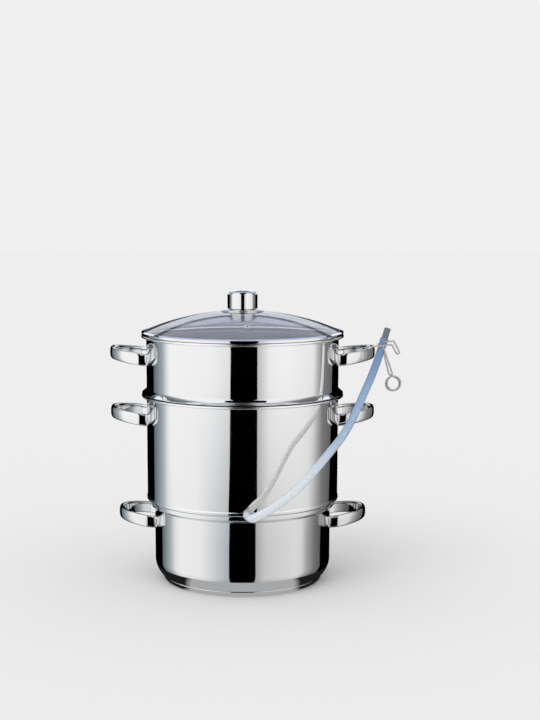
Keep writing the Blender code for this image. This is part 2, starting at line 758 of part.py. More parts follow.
def make_band(rig):
    """The folded strip that holds the glass's edge and locates the lid in the basket."""
    beside = GLASS_HALF + CLEARANCE + BAND_SHEET / 2
    slope = Vector((math.sin(DOME_EDGE_ANGLE), math.cos(DOME_EDGE_ANGLE)))
    radius = GLASS_RADIUS + GLASS_HALF * slope.x + CLEARANCE + BAND_SHEET / 2
    fold_radius = GLASS_RADIUS - BAND_FOLD
    fold_angle = math.asin(fold_radius / DOME_RADIUS)
    across = DOME_RADIUS + beside
    fold = (across * math.sin(fold_angle), DOME_CENTRE_HEIGHT + across * math.cos(fold_angle))
    past = radius - GLASS_RADIUS - beside * slope.x
    brow = (radius, GLASS_EDGE_HEIGHT + beside * slope.y - past * slope.x / slope.y)
    seat = BAND_SHEET / 2
    skirt = BASKET_INNER_RADIUS - LID_FIT - BAND_SHEET / 2
    band = [fold, brow]
    band += arc((radius - BAND_BEND / 2, seat + BAND_BEND / 2), BAND_BEND / 2, 0, -90, 1)
    band += arc((skirt + PRESS_BEND, seat - PRESS_BEND), PRESS_BEND, 90, 180, 1)
    band.append((skirt, seat - LID_SKIRT_DEPTH))
    turned("lid_band", band, polished_steel, rig, BAND_SHEET)


def make_knob(rig):
    foot = dome_height(DISH_RADIUS, GLASS_HALF) + GLASS_CLEARANCE
    crest = foot + DISH_RISE - DISH_SHEET / 2
    bore = SCREW_RADIUS + SCREW_FIT
    dish = [(bore, crest)]
    for step in range(DISH_STEPS + 1):
        angle = math.pi / 2 * step / DISH_STEPS
        dish.append((
            DISH_FLAT_RADIUS + (DISH_RADIUS - DISH_SHEET / 2 - DISH_FLAT_RADIUS) * math.sin(angle),
            foot + (crest - foot) * math.cos(angle),
        ))
    turned("knob_dish", dish, polished_steel, rig, DISH_SHEET, steps=MIDDLE_STEPS)

    base = foot + DISH_RISE + CLEARANCE
    top = base + KNOB_HEIGHT
    rim = top - KNOB_CROWN
    ceiling = base + KNOB_BORE_DEPTH
    knob = [(0, top), (KNOB_RADIUS / 2, top - KNOB_CROWN / 4)]
    knob += arc((KNOB_RADIUS - KNOB_EDGE_BEND, rim - KNOB_EDGE_BEND), KNOB_EDGE_BEND, 80, 0, 3)
    knob += [(KNOB_FOOT_RADIUS, base + PRESS_BEND / 2), (KNOB_FOOT_RADIUS - PRESS_BEND / 2, base)]
    knob += [(bore, base), (bore, ceiling), (0, ceiling)]
    turned("lid_knob", knob, polished_steel, rig, steps=MIDDLE_STEPS)

    under = dome_height(GASKET_RADIUS, -GLASS_HALF) - GLASS_CLEARANCE
    gasket_low = under - GASKET_THICKNESS
    gasket = [(bore, under), (GASKET_RADIUS, under), (GASKET_RADIUS, gasket_low), (bore, gasket_low)]
    turned("knob_gasket", gasket, dark_rubber, rig, steps=SMALL_STEPS, closed=True)
    washer_top = gasket_low - CLEARANCE
    washer_low = washer_top - WASHER_THICKNESS
    washer = [(bore, washer_top), (WASHER_RADIUS, washer_top), (WASHER_RADIUS, washer_low), (bore, washer_low)]
    turned("knob_washer", washer, satin_steel, rig, steps=SMALL_STEPS, closed=True)
    head = washer_low - CLEARANCE
    screw = [
        (0, ceiling - CLEARANCE), (SCREW_RADIUS, ceiling - CLEARANCE), (SCREW_RADIUS, head),
        (SCREW_HEAD_RADIUS, head), (SCREW_HEAD_RADIUS, head - SCREW_HEAD_HEIGHT / 2),
        (SCREW_HEAD_FLAT_RADIUS, head - SCREW_HEAD_HEIGHT), (0, head - SCREW_HEAD_HEIGHT),
    ]
    turned("knob_screw", screw, satin_steel, rig, steps=SMALL_STEPS)


clear_scene()
parts = new_collection("steam_juicer")
cutters = new_collection("cutters")

polished_steel = new_material("polished_steel", STEEL, 0.08, 1.0)
satin_steel = new_material("satin_steel", STEEL, 0.3, 1.0)
wire_steel = new_material("wire_steel", WIRE_STEEL, 0.3, 1.0)
aluminium = new_material("aluminium", ALUMINIUM, 0.4, 1.0)
silicone = new_material("silicone", SILICONE, 0.25, 0.0, 0.7)
grey_plastic = new_material("grey_plastic", GREY_PLASTIC, 0.35, 0.0)
dark_rubber = new_material("dark_rubber", DARK_RUBBER, 0.6, 0.0)
clear_glass = new_material("clear_glass", GLASS_TINT, 0.02, 0.0, 1.0)

pan_rig = new_rig("pan_rig", (0, 0, 0))
kettle_rig = new_rig("kettle_rig", (0, 0, KETTLE_SEAT), pan_rig)
basket_rig = new_rig("basket_rig", (0, 0, BASKET_SEAT), kettle_rig)
lid_rig = new_rig("lid_rig", (0, 0, LID_SEAT), basket_rig)

make_pan(pan_rig)
make_handles("pan", PAN_OUTER_RADIUS, PAN_HEIGHT - PAN_HANDLE_DROP, pan_rig)
make_kettle(kettle_rig)
make_handles("kettle", KETTLE_OUTER_RADIUS, KETTLE_HEIGHT - KETTLE_HANDLE_DROP, kettle_rig)
make_hose(kettle_rig)
make_clamp(kettle_rig)
make_basket(basket_rig)
make_handles("basket", BASKET_OUTER_RADIUS, BASKET_HEIGHT - BASKET_HANDLE_DROP, basket_rig)
make_lid(lid_rig)
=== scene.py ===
"""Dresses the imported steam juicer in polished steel, glass and silicone, and lights it in a small studio.

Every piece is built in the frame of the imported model, from the same sizes as the part's source, and
rides on the body of the solid that it stands for. The four tiers stand on each other: water pan, juice
kettle, steam basket and lid. The hose leaves the kettle's wall and is held up by a wire clamp.
"""

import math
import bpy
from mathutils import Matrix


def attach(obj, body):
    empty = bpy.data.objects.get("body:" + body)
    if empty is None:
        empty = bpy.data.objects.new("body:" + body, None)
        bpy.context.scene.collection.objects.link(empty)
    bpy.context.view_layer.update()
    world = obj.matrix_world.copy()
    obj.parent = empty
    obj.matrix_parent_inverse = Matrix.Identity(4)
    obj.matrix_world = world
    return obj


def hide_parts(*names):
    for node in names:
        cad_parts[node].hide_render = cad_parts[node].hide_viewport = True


bl_info = {
    "name": "Steam Juicer Looks",
    "version": (1, 0, 0),
    "blender": (4, 5, 0),
    "location": "3D View > Sidebar > Steam Juicer",
    "description": "Builds the polished tiers, lid, hose and clamp of a steam juicer and its studio",
    "category": "Add Mesh",
}

import bmesh
import bpy
from bpy.props import FloatProperty, FloatVectorProperty, IntProperty, PointerProperty
from bpy.types import Operator, Panel, PropertyGroup
from mathutils import Matrix, Vector

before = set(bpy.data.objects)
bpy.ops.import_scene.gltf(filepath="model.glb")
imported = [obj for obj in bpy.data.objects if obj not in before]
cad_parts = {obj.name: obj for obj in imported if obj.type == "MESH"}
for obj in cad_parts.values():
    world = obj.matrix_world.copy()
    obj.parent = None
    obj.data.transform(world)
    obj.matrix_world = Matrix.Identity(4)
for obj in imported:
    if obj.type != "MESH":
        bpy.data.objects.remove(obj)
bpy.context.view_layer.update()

# Fits, as in the part's source
CLEARANCE = 0.0003
GLASS_CLEARANCE = 0.0005

# How the meshes are made: seams, the path of a turned profile, points beside the ends of its straights,
# steps round the small turned pieces, and the angles that tell faces apart
MERGE_DISTANCE = 0.000001
PIVOT_RADIUS = 0.001
HOLD_DISTANCE = 0.0006
HOLD_FROM = 0.004
SMALL_STEPS = 48
KNOB_STEPS = 96
SHARP_ANGLE = math.radians(40)
HOSE_SHARP_ANGLE = math.radians(60)
FLAT_FROM = 0.5
INWARD_FROM = -0.25

# Pressed forms: rims, the kettle's bead, the basket's flare, the base and the funnel. Slants and turns are
# in degrees.
LIP_EDGE_BEND = 0.0013
LIP_ROOT_BEND = 0.0025
PRESS_BEND = 0.0015
LIP_GAP = 0.0012
PAN_LIP_FACE = 0.0055
PAN_LIP_SLANT = 55
LIP_FACE = 0.00165
LIP_SLANT = 74
KETTLE_BEAD_REACH = 0.0008
KETTLE_BEAD_LOW = 0.0020
KETTLE_BEAD_HEIGHT = 0.0019
KETTLE_FIT = 0.0005
BASKET_FIT = 0.0006
BASKET_TIP_BEND = 0.0005
BASKET_TIP_LIFT = 0.0009
BASKET_FLARE_CURVE = 1.42
BASE_SHEET = 0.0008
BASE_BEND = 0.0055
CORNER_TURN = 50
BRUSHED_DEPTH = 0.0052
FUNNEL_FLANGE = 0.0060
FUNNEL_HEADROOM = 0.0090

# The outlet stub, with the heights of its tip, shaft, barb and neck as shares of its length outside
SPOUT_RIGHT = 0.0054
SPOUT_RISE = 0.0026
SPOUT_SLANT = math.radians(24)
SPOUT_INSIDE = 0.0030
SPOUT_BARB = 0.0005
SPOUT_COLLAR = 0.0007
SPOUT_SHARES = (0.97, 0.92, 0.72, 0.70, 0.66)

# The handles' ends
HANDLE_CENTRE_INSET = 0.0060
HANDLE_DRAW_START = math.radians(73)
HANDLE_DRAW_TURN = math.radians(31.5)
HANDLE_DRAW_BEND = 0.0055
HANDLE_RIDGE = 0.0025
HANDLE_TIP_LENGTH = 0.0016
HANDLE_TIP_HEIGHT = 0.0090
HANDLE_TIP_SHARE = 0.45
FOOT_CLIMB = 1.3
STRAP_SIDES = 36
STRAP_BULGE = 2.6
STRAP_FLAT = 4.5

# The lid's band, its knob and the screw
BAND_SHEET = 0.0006
BAND_BEND = 0.0012
LID_FIT = 0.0013
LID_SKIRT_DEPTH = 0.0060
DISH_SHEET = 0.0010
SCREW_RADIUS = 0.0024
SCREW_FIT = 0.0005
SCREW_HEAD = 0.0048
SCREW_DOME = 0.0026
KNOB_ROOM = 0.0120
KNOB_CROWN_SHARE = 0.62
KNOB_SHOULDER = 0.0020
KNOB_WAIST = 0.0022
KNOB_FOOT_BEND = 0.0006

# Gasket and washer: radius, height and chamfer
GASKET = (0.0095, 0.0015, 0.0003)
WASHER = (0.0085, 0.0010, 0.0002)

# The steam vent and its place round the lid
VENT_TURN = math.radians(-86.2)
VENT_BEND = 0.0009
VENT_RISE = 0.0007
VENT_BARREL_SHARE = 0.72

# The hose's middle line, from the kettle's seat upwards, and the point where the clamp grips it
HOSE_ROUTE = (
    (0.0070, -0.1343, 0.0026),
    (0.0092, -0.1425, 0.0026),
    (0.0112, -0.1500, 0.0026),
    (0.0145, -0.1558, 0.0040),
    (0.0229, -0.1585, 0.0089),
    (0.0373, -0.1575, 0.0171),
    (0.0621, -0.1580, 0.0355),
    (0.0869, -0.1520, 0.0596),
    (0.1097, -0.1370, 0.0835),
    (0.1308, -0.1090, 0.1042),
    (0.1485, -0.0770, 0.1279),
    (0.1609, -0.0610, 0.1517),
    (0.1713, -0.0530, 0.1739),
    (0.1802, -0.0470, 0.1963),
    (0.1862, -0.0425, 0.2143),
    (0.1890, -0.0410, 0.2229),
)
CLAMPED_POINT = 14
HOSE_STEP = 0.0025
HOSE_SIDES = 40
HOSE_TAPER = 0.0003

# How the hose widens over the stub and, outside and in its bore, over the nozzle
STUB_SWELL = 0.0009
STUB_SWELL_RUN = 0.0200
NOZZLE_SWELL = (0.00035, 0.00075)
NOZZLE_SWELL_RUN = 0.0009

# Where the hose's tints stand along its length, the pale one near the kettle partly painted light: the bright
# steel seen through the tube. Then its painted pale colour and painted glow in mirrors, a painted reflection
HOSE_TINT_AND_LIGHT_STOPS = (0.30, 0.50, 0.77, 0.92)
MIRROR_PAINTED_PALE_HOSE = (0.95, 0.96, 0.97)
MIRROR_PAINTED_GLOW = (0.17, 0.17, 0.16)

# The nozzle in the hose's end
NOZZLE_BEND = 0.0016
NOZZLE_MOUTH = 0.0004
NOZZLE_DRAFT = 0.0001
NOZZLE_DRAFT_SHARE = 0.55
NOZZLE_STOP = 0.0012
NOZZLE_CHAMFER = 0.0005

# The wire clamp: its slants, its coil, its neck, its jaws and the tab of its front jaw
ARM_TILT = math.radians(16.5)
JAW_TILT = math.radians(6)
TAB_TURN = math.radians(62)
COIL_SKEW = (-0.42, -0.28)
COIL_START = math.radians(50)
COIL_TURNS = 1.8
COIL_STEPS = 54
GRIP_GAP = 0.0005
NECK_RISE = 0.0036
NECK_HALF = 0.0021
HEEL_LENGTH = 0.0016
REAR_JAW = 0.0060
REAR_JAW_RISE = 0.0010
FRONT_JAW = 0.0245
FRONT_CORNER = 0.0118
TAB_LENGTH = 0.0125
TAB_WIDTH = 0.0046
REAR_BEND = 0.0040
ARM_BEND = 0.0030
JAW_BEND = 0.0016

# Effects: where the smears begin and end, the hairlines' stretch, the patches between spun rings, and the
# hose's rim where its wall is seen edge-on
SMEAR_RANGE = (0.35, 0.75)
HAIRLINE_STRETCH = (60.0, 60.0, 2600.0)
PATCH_SCALE = 22.0
HOSE_RIM = (0.55, 0.95, 0.0, 0.75)
BLACK = (0.0, 0.0, 0.0)

# Finishes by name: the tone, the effect, the strength and depth of its bump, the values of the shader's
# own sockets, and the values of the effect
FINISHES = {
    "polished_steel": (
        "steel", "marks", 0.05, 0.00002,
        {"Metallic": 1.0}, {"Roughness": 0.035, "Smear": 0.03, "Hairlines": 0.3},
    ),
    "satin_steel": (
        "satin", "rings", 0.12, 0.00003,
        {"Metallic": 1.0}, {"Density": 2400.0, "Roughness": 0.16, "Spread": 0.22},
    ),
    "wire_steel": (
        "wire", "marks", 0.2, 0.00003,
        {"Metallic": 1.0}, {"Roughness": 0.22, "Smear": 0.12, "Smear Size": 180.0, "Hairlines": 1.0},
    ),
    "aluminium": (
        "aluminium", "rings", 0.2, 0.00005,
        {"Metallic": 1.0}, {"Density": 1500.0, "Roughness": 0.35, "Spread": 0.2},
    ),
    # The silicone's emission carries a painted glow, which only mirrors show
    "silicone": (
        "silicone", "marks", 0.02, 0.00001,
        {"Transmission Weight": 0.30, "IOR": 1.41, "Specular IOR Level": 0.5, "Emission Strength": 1.0},
        {"Roughness": 0.10, "Smear": 0.04, "Smear Size": 16.0, "Hairlines": 0.0},
    ),
    "grey_plastic": (
        "nozzle", "marks", 0.1, 0.00005,
        {"IOR": 1.5}, {"Roughness": 0.3, "Smear": 0.1, "Smear Size": 120.0, "Hairlines": 0.5},
    ),
    "dark_rubber": (
        "gasket", "marks", 0.2, 0.00005,
        {"IOR": 1.5}, {"Roughness": 0.55, "Smear": 0.15, "Smear Size": 200.0, "Hairlines": 0.5},
    ),
    "clear_glass": (
        "glass", "marks", 0.0, 0.00001,
        {"Transmission Weight": 1.0, "IOR": 1.5},
        {"Roughness": 0.0, "Smear": 0.015, "Smear Size": 14.0, "Hairlines": 0.0},
    ),
}

# What the operators share: the geometry trees and the finishes
trees = {}
finishes = {}


def size(label, default, description):
    """A length that a user may change."""
    return FloatProperty(
        name=label, default=default, description=description, unit="LENGTH", precision=4, min=0.0
    )


def tone(label, default, description):
    """A colour that a user may change."""
    return FloatVectorProperty(
        name=label, default=default, description=description, subtype="COLOR", size=3, min=0.0, max=1.0
    )


class JuicerVessels(PropertyGroup):
    """Sizes of the three pressed vessels."""

    sheet: size("Sheet", 0.0007, "Thickness of the pressed steel")
    lip_reach: size("Lip Reach", 0.0068, "How far a rolled lip stands out from its wall")
    pan_radius: size("Pan Radius", 0.1200, "Inner radius of the water pan")
    pan_height: size("Pan Height", 0.1128, "Height of the water pan with its base")
    pan_corner: size("Pan Corner", 0.0300, "Rounding between the pan's wall and its base")
    base_inset: size("Base Inset", 0.0112, "How far the base's edge lies inside the pan's wall")
    base_core: size("Base Core", 0.0052, "Thickness of the aluminium layer in the base")
    kettle_radius: size("Kettle Radius", 0.1300, "Inner radius of the juice kettle")
    kettle_height: size("Kettle Height", 0.1444, "Height of the kettle above its seat")
    trough_depth: size("Trough Depth", 0.0063, "Depth of the juice trough below the kettle's seat")
    funnel_foot: size("Funnel Foot", 0.0560, "Radius of the steam funnel's foot")
    funnel_top: size("Funnel Top", 0.0300, "Radius of the steam funnel's mouth")
    basket_radius: size("Basket Radius", 0.1300, "Inner radius of the steam basket")
    basket_height: size("Basket Height", 0.0802, "Height of the basket above its seat")
    flare_reach: size("Flare Reach", 0.0064, "How far the basket's shoulder stands out")
    flare_height: size("Flare Height", 0.0084, "Height of the basket's shoulder")
    floor_depth: size("Floor Depth", 0.0138, "Depth of the basket's floor below its seat")
    turning_steps: IntProperty(
        name="Turning Steps", default=192, min=24, max=512, description="Faces round a turned vessel"
    )


class JuicerHoles(PropertyGroup):
    """The steam holes in the basket's floor."""

    hole_radius: size("Hole Radius", 0.0019, "Radius of one steam hole")
    ring_step: size("Ring Step", 0.0104, "Distance from one ring of holes to the next")
    rings: IntProperty(name="Rings", default=10, min=1, max=16, description="Rings of steam holes")


class JuicerHandles(PropertyGroup):
    """Sizes of the strap handles, alike on all tiers."""

    reach: size("Reach", 0.0493, "How far a handle stands out from the wall")
    half_width: size("Half Width", 0.0505, "Half of a handle's width along the wall")
    height: size("Height", 0.0160, "Height of the strap")
    thickness: size("Thickness", 0.0060, "Thickness of the strap")
    root_bend: size("Root Bend", 0.0034, "Rounding where the strap turns onto the wall")
    foot_length: size("Foot Length", 0.0195, "Length of a welded foot along the wall")
    foot_height: size("Foot Height", 0.0172, "Height of a welded foot at its end")
    foot_thickness: size("Foot Thickness", 0.0014, "Thickness of a welded foot at its end")
    tip_rise: size("Tip Rise", 0.0030, "How far the loop's outer end lies above the handle's middle")
    foot_rise: size("Foot Rise", 0.0078, "How far a foot's end lies above the handle's middle")
    root_fall: FloatProperty(
        name="Root Fall", default=-0.0044, unit="LENGTH", precision=4,
        description="Height of the loop's roots over the handle's middle",
    )
    pan_foot_fall: size("Pan Foot Fall", 0.0050, "How much lower the feet end on the pan")
    drop_to_middle: size("Middle Drop", 0.0108, "From a handle's upper line down to its middle")
    pan_drop: size("Pan Drop", 0.0110, "From the pan's rim down to its handles")
    kettle_drop: size("Kettle Drop", 0.0160, "From the kettle's rim down to its handles")
    basket_drop: size("Basket Drop", 0.0157, "From the basket's rim down to its handles")


class JuicerLid(PropertyGroup):
    """Sizes of the lid, its knob and its vent."""

    edge_inset: size("Edge Inset", 0.0021, "How far the glass's edge lies inside the basket's lip")
    crown: size("Crown", 0.0286, "Rise of the dome")
    glass: size("Glass", 0.0026, "Thickness of the glass")
    band_fold: size("Band Fold", 0.0022, "How far the steel band folds over the glass")
    dish_radius: size("Dish Radius", 0.0287, "Radius of the dish under the knob")
    dish_flat: size("Dish Flat", 0.0226, "Radius of the dish's flat middle")
    dish_rise: size("Dish Rise", 0.0030, "Height of the dish")
    knob_radius: size("Knob Radius", 0.0205, "Radius of the knob")
    knob_foot: size("Knob Foot", 0.0205, "Radius of the knob where it meets the dish")
    knob_height: size("Knob Height", 0.0250, "Height of the knob")
    knob_crown: size("Knob Crown", 0.0022, "Rise of the knob's top")
    knob_bend: size("Knob Bend", 0.0045, "Rounding of the knob's upper edge")
    vent_inset: size("Vent Inset", 0.0402, "From the glass's edge to the steam vent")
    vent_radius: size("Vent Radius", 0.0048, "Radius of the vent's flange")
    vent_bore: size("Vent Bore", 0.0020, "Radius of the vent's hole")


class JuicerOutlet(PropertyGroup):
    """Sizes of the outlet stub, the hose, its nozzle and the wire clamp."""

    spout_radius: size("Spout Radius", 0.0040, "Outer radius of the outlet stub")
    spout_bore: size("Spout Bore", 0.0029, "Inner radius of the outlet stub")
    spout_length: size("Spout Length", 0.0180, "Length of the outlet stub")
    hose_radius: size("Hose Radius", 0.0055, "Outer radius of the hose")
    hose_bore: size("Hose Bore", 0.0038, "Inner radius of the hose")
    nozzle_radius: size("Nozzle Radius", 0.00435, "Outer radius of the nozzle")
    nozzle_bore: size("Nozzle Bore", 0.0028, "Inner radius of the nozzle")
    nozzle_grip: size("Nozzle Grip", 0.0060, "Length of the nozzle inside the hose")
    nozzle_reach: size("Nozzle Reach", 0.0145, "Length of the nozzle outside the hose")
    wire_radius: size("Wire Radius", 0.0011, "Radius of the clamp's wire")
    coil_radius: size("Coil Radius", 0.0095, "Radius of the clamp's coil")
    coil_gap: size("Coil Gap", 0.0009, "Gap between the coil's turns")
    arm_length: size("Arm Length", 0.0440, "Length of the clamp's arms")


class JuicerTones(PropertyGroup):
    """Colours of the pieces and the studio."""

    steel: tone("Steel", (0.80, 0.80, 0.805), "Polished steel")
    satin: tone("Satin", (0.88, 0.90, 0.94), "Satin steel of the insides and the edges")
    wire: tone("Wire", (0.52, 0.51, 0.48), "Drawn wire of the clamp")
    aluminium: tone("Aluminium", (0.70, 0.71, 0.72), "Heat spreading layer in the base")
    # The pale tint at the kettle is partly painted light: the bright steel seen through the translucent hose
    silicone: tone("Silicone", (0.86, 0.91, 0.96), "Hose at the kettle")
    silicone_middle: tone("Silicone Middle", (0.46, 0.60, 0.80), "Hose in its lower middle")
    silicone_upper: tone("Silicone Upper", (0.33, 0.49, 0.73), "Hose in its upper middle")
    silicone_end: tone("Silicone End", (0.20, 0.32, 0.54), "Hose at its free end")
    silicone_edge: tone("Silicone Edge", (0.26, 0.33, 0.46), "Hose where its wall is seen edge-on")
    nozzle: tone("Nozzle", (0.15, 0.17, 0.21), "Nozzle in the hose's end")
    gasket: tone("Gasket", (0.05, 0.05, 0.055), "Gasket under the knob")
    glass: tone("Glass", (0.94, 0.955, 0.99), "Lid glass")
    floor: tone("Floor", (0.87, 0.87, 0.87), "Studio floor and background")


def shares(count):
    """Even shares from nothing to the whole."""
    return [step / count for step in range(count + 1)]


def add(tree, kind, inputs=None, **settings):
    """A node with its settings, and its inputs set to values or linked to sockets or nodes' first outputs."""
    node = tree.nodes.new(kind)
    for name, value in settings.items():
        setattr(node, name, value)
    for name, value in (inputs or {}).items():
        if isinstance(value, bpy.types.Node):
            value = value.outputs[0]
        if isinstance(value, bpy.types.NodeSocket):
            tree.links.new(value, node.inputs[name])
        else:
            node.inputs[name].default_value = value
    return node


def worked(tree, operation, *values):
    """A number worked out from others."""
    return add(tree, "ShaderNodeMath", dict(enumerate(values)), operation=operation)


def ranged(tree, value, start, end, low=0.0, high=1.0):
    """A number carried from one range to another, and kept inside it."""
    limits = {"From Min": start, "From Max": end, "To Min": low, "To Max": high}
    return add(tree, "ShaderNodeMapRange", {"Value": value, **limits})


def blended(tree, share, first, second):
    """A colour between two others."""
    return add(tree, "ShaderNodeMix", {0: share, 6: first, 7: second}, data_type="RGBA").outputs[2]


def new_group(name, kind, inputs, outputs):
    """A node group with named sockets, and what it is given."""
    group = bpy.data.node_groups.new(name, kind)
    for label, socket, value in inputs:
        made = group.interface.new_socket(label, in_out="INPUT", socket_type="NodeSocket" + socket)
        if value is not None:
            made.default_value = value
    for label, socket in outputs:
        group.interface.new_socket(label, in_out="OUTPUT", socket_type="NodeSocket" + socket)
    return group, group.nodes.new("NodeGroupInput").outputs


def geometry_tree(name, *numbers):
    """A geometry tree with number inputs between its geometry and its material, and what it is given."""
    inputs = [("Geometry", "Geometry", None), *numbers, ("Material", "Material", None)]
    return new_group(name, "GeometryNodeTree", inputs, [("Geometry", "Geometry")])


def end_in_material(tree, given, geometry):
    """Ends a geometry tree in Realize Instances and Set Material."""
    real = add(tree, "GeometryNodeRealizeInstances", {"Geometry": geometry})
    painted = add(tree, "GeometryNodeSetMaterial", {"Geometry": real, "Material": given["Material"]})
    add(tree, "NodeGroupOutput", {"Geometry": painted})
    return tree


def turned_piece_tree():
    """Turns a profile's edges about the Z axis."""
    tree, given = geometry_tree("Turned Piece", ("Steps", "Int", 96))
    profile = add(tree, "GeometryNodeMeshToCurve", {"Mesh": given["Geometry"]})
    path = add(
        tree, "GeometryNodeCurvePrimitiveCircle", {"Resolution": given["Steps"], "Radius": PIVOT_RADIUS}
    )
    upright = add(tree, "GeometryNodeSetCurveNormal", {"Curve": path}, mode="Z_UP")
    skin = add(tree, "GeometryNodeCurveToMesh", {"Curve": upright, "Profile Curve": profile})
    whole = add(tree, "GeometryNodeMergeByDistance", {"Geometry": skin, "Distance": MERGE_DISTANCE})
    return end_in_material(tree, given, whole)


def bent_wire_tree():
    """A round wire along a line of edges, with every corner bent to a radius."""
    tree, given = geometry_tree(
        "Bent Wire", ("Wire Radius", "Float", 0.001), ("Bend Radius", "Float", 0.003),
        ("Bend Steps", "Int", 8), ("Sides", "Int", 20),
    )
    line = add(tree, "GeometryNodeMeshToCurve", {"Mesh": given["Geometry"]})
    bends = {"Radius": given["Bend Radius"], "Count": given["Bend Steps"], "Limit Radius": True}
    bent = add(tree, "GeometryNodeFilletCurve", {"Curve": line, **bends}, mode="POLY")
    section = add(
        tree, "GeometryNodeCurvePrimitiveCircle",
        {"Resolution": given["Sides"], "Radius": given["Wire Radius"]},
    )
    skin = add(
        tree, "GeometryNodeCurveToMesh", {"Curve": bent, "Profile Curve": section, "Fill Caps": True}
    )
    return end_in_material(tree, given, skin)


def steam_holes_tree():
    """Cuts rings of round holes through a flat floor, six more holes in each further ring."""
    tree, given = geometry_tree(
        "Steam Holes", ("Rings", "Int", 10), ("Ring Step", "Float", 0.01), ("Hole Radius", "Float", 0.002),
        ("Floor Height", "Float", 0.0), ("Cut Depth", "Float", 0.004), ("Sides", "Int", 16),
    )
    drill = add(
        tree, "GeometryNodeMeshCylinder",
        {"Vertices": given["Sides"], "Radius": given["Hole Radius"], "Depth": given["Cut Depth"]},
        fill_type="NGON",
    )
    start = tree.nodes.new("GeometryNodeRepeatInput")
    end = tree.nodes.new("GeometryNodeRepeatOutput")
    start.pair_with_output(end)
    tree.links.new(given["Rings"], start.inputs["Iterations"])
    ring = worked(tree, "ADD", start.outputs["Iteration"], 1.0)
    count = worked(tree, "MULTIPLY", ring, 6.0)
    reach = worked(tree, "MULTIPLY", ring, given["Ring Step"])
    circle = add(tree, "GeometryNodeMeshCircle", {"Vertices": count, "Radius": reach}, fill_type="NONE")
    drills = add(tree, "GeometryNodeInstanceOnPoints", {"Points": circle, "Instance": drill})
    joined = add(tree, "GeometryNodeJoinGeometry", {"Geometry": drills})
    tree.links.new(start.outputs["Geometry"], joined.inputs["Geometry"])
    tree.links.new(joined.outputs["Geometry"], end.inputs["Geometry"])
    place = add(tree, "ShaderNodeCombineXYZ", {"Z": given["Floor Height"]})
    lowered = add(
        tree, "GeometryNodeTransform", {"Geometry": end.outputs["Geometry"], "Translation": place}
    )
    cutters = add(tree, "GeometryNodeRealizeInstances", {"Geometry": lowered})
    cut = add(
        tree, "GeometryNodeMeshBoolean", {"Mesh 1": given["Geometry"], "Mesh 2": cutters},
        operation="DIFFERENCE", solver="EXACT",
    )
    return end_in_material(tree, given, cut)


def placed(name, data):
    """An object in the scene that holds the given data."""
    item = bpy.data.objects.new(name, data)
    bpy.context.scene.collection.objects.link(item)
    return item


def finish_tree_object(name, mesh, tree, **values):
    """An object with a geometry tree's result as its plain mesh."""
    item = placed(name, mesh)
    grow = item.modifiers.new(tree.name, "NODES")
    grow.node_group = tree
    sockets = {
        socket.name: socket.identifier
        for socket in tree.interface.items_tree
        if socket.item_type == "SOCKET" and socket.in_out == "INPUT"
    }
    for label, value in values.items():
        grow[sockets[label.replace("_", " ").title()]] = value
    view = bpy.context.evaluated_depsgraph_get()
    result = bpy.data.meshes.new_from_object(item.evaluated_get(view), depsgraph=view)
    item.modifiers.clear()
    item.data = result
    result.name = name
    bpy.data.meshes.remove(mesh)
    return item


def shaded(item, angle=SHARP_ANGLE):
    """Shades a piece round up to an angle between its faces."""
    item.data.shade_smooth()
    item.data.set_sharp_from_angle(angle=angle)
    return item


def closed(item):
    """Closes a piece's seams, points its faces outwards and shades it."""
    work = bmesh.new()
    work.from_mesh(item.data)
    bmesh.ops.remove_doubles(work, verts=work.verts, dist=MERGE_DISTANCE)
    bmesh.ops.recalc_face_normals(work, faces=work.faces)
    work.to_mesh(item.data)
    work.free()
    return shaded(item)


def from_work(name, work, finish):
    """A piece from a mesh that was built point by point."""
    mesh = bpy.data.meshes.new(name)
    work.to_mesh(mesh)
    work.free()
    mesh.materials.append(finishes[finish])
    return placed(name, mesh)


def join_rings(work, rings, inwards=False):
    """Faces between neighbouring rings of points, each with the step and the turn that it starts from."""
    made = []
    for step, (first, second) in enumerate(zip(rings, rings[1:])):
        for turn in range(len(first)):
            after = (turn + 1) % len(first)
            corners = (first[turn], first[after], second[after], second[turn])
            face = work.faces.new(corners[::-1] if inwards else corners)
            made.append((face, step, turn))
    return made


def arc(centre, radius, start, end, steps=8):
    """Points along an arc in a profile, angles in degrees from the outward direction."""
    angles = [math.radians(start + (end - start) * share) for share in shares(steps)]
    return [(centre[0] + radius * math.cos(angle), centre[1] + radius * math.sin(angle)) for angle in angles]


def chamfered(bore, radius, top, height, chamfer):
    """Outline of a flat ring or disc with chamfered outer edges."""
    low = top - height
    inner = radius - chamfer
    return [
        (bore, top), (inner, top), (radius, top - chamfer), (radius, low + chamfer), (inner, low), (bore, low)
    ]


def held(line):
    """A profile with points added near the ends of its long straights, which keeps reflections true."""
    points = [Vector(line[0])]
    for first, second in zip(line, line[1:]):
        first, second = Vector(first), Vector(second)
        run = second - first
        if run.length < MERGE_DISTANCE:
            continue
        if run.length > HOLD_FROM:
            near = run.normalized() * HOLD_DISTANCE
            points += [first + near, second - near]
        points.append(second)
    return points


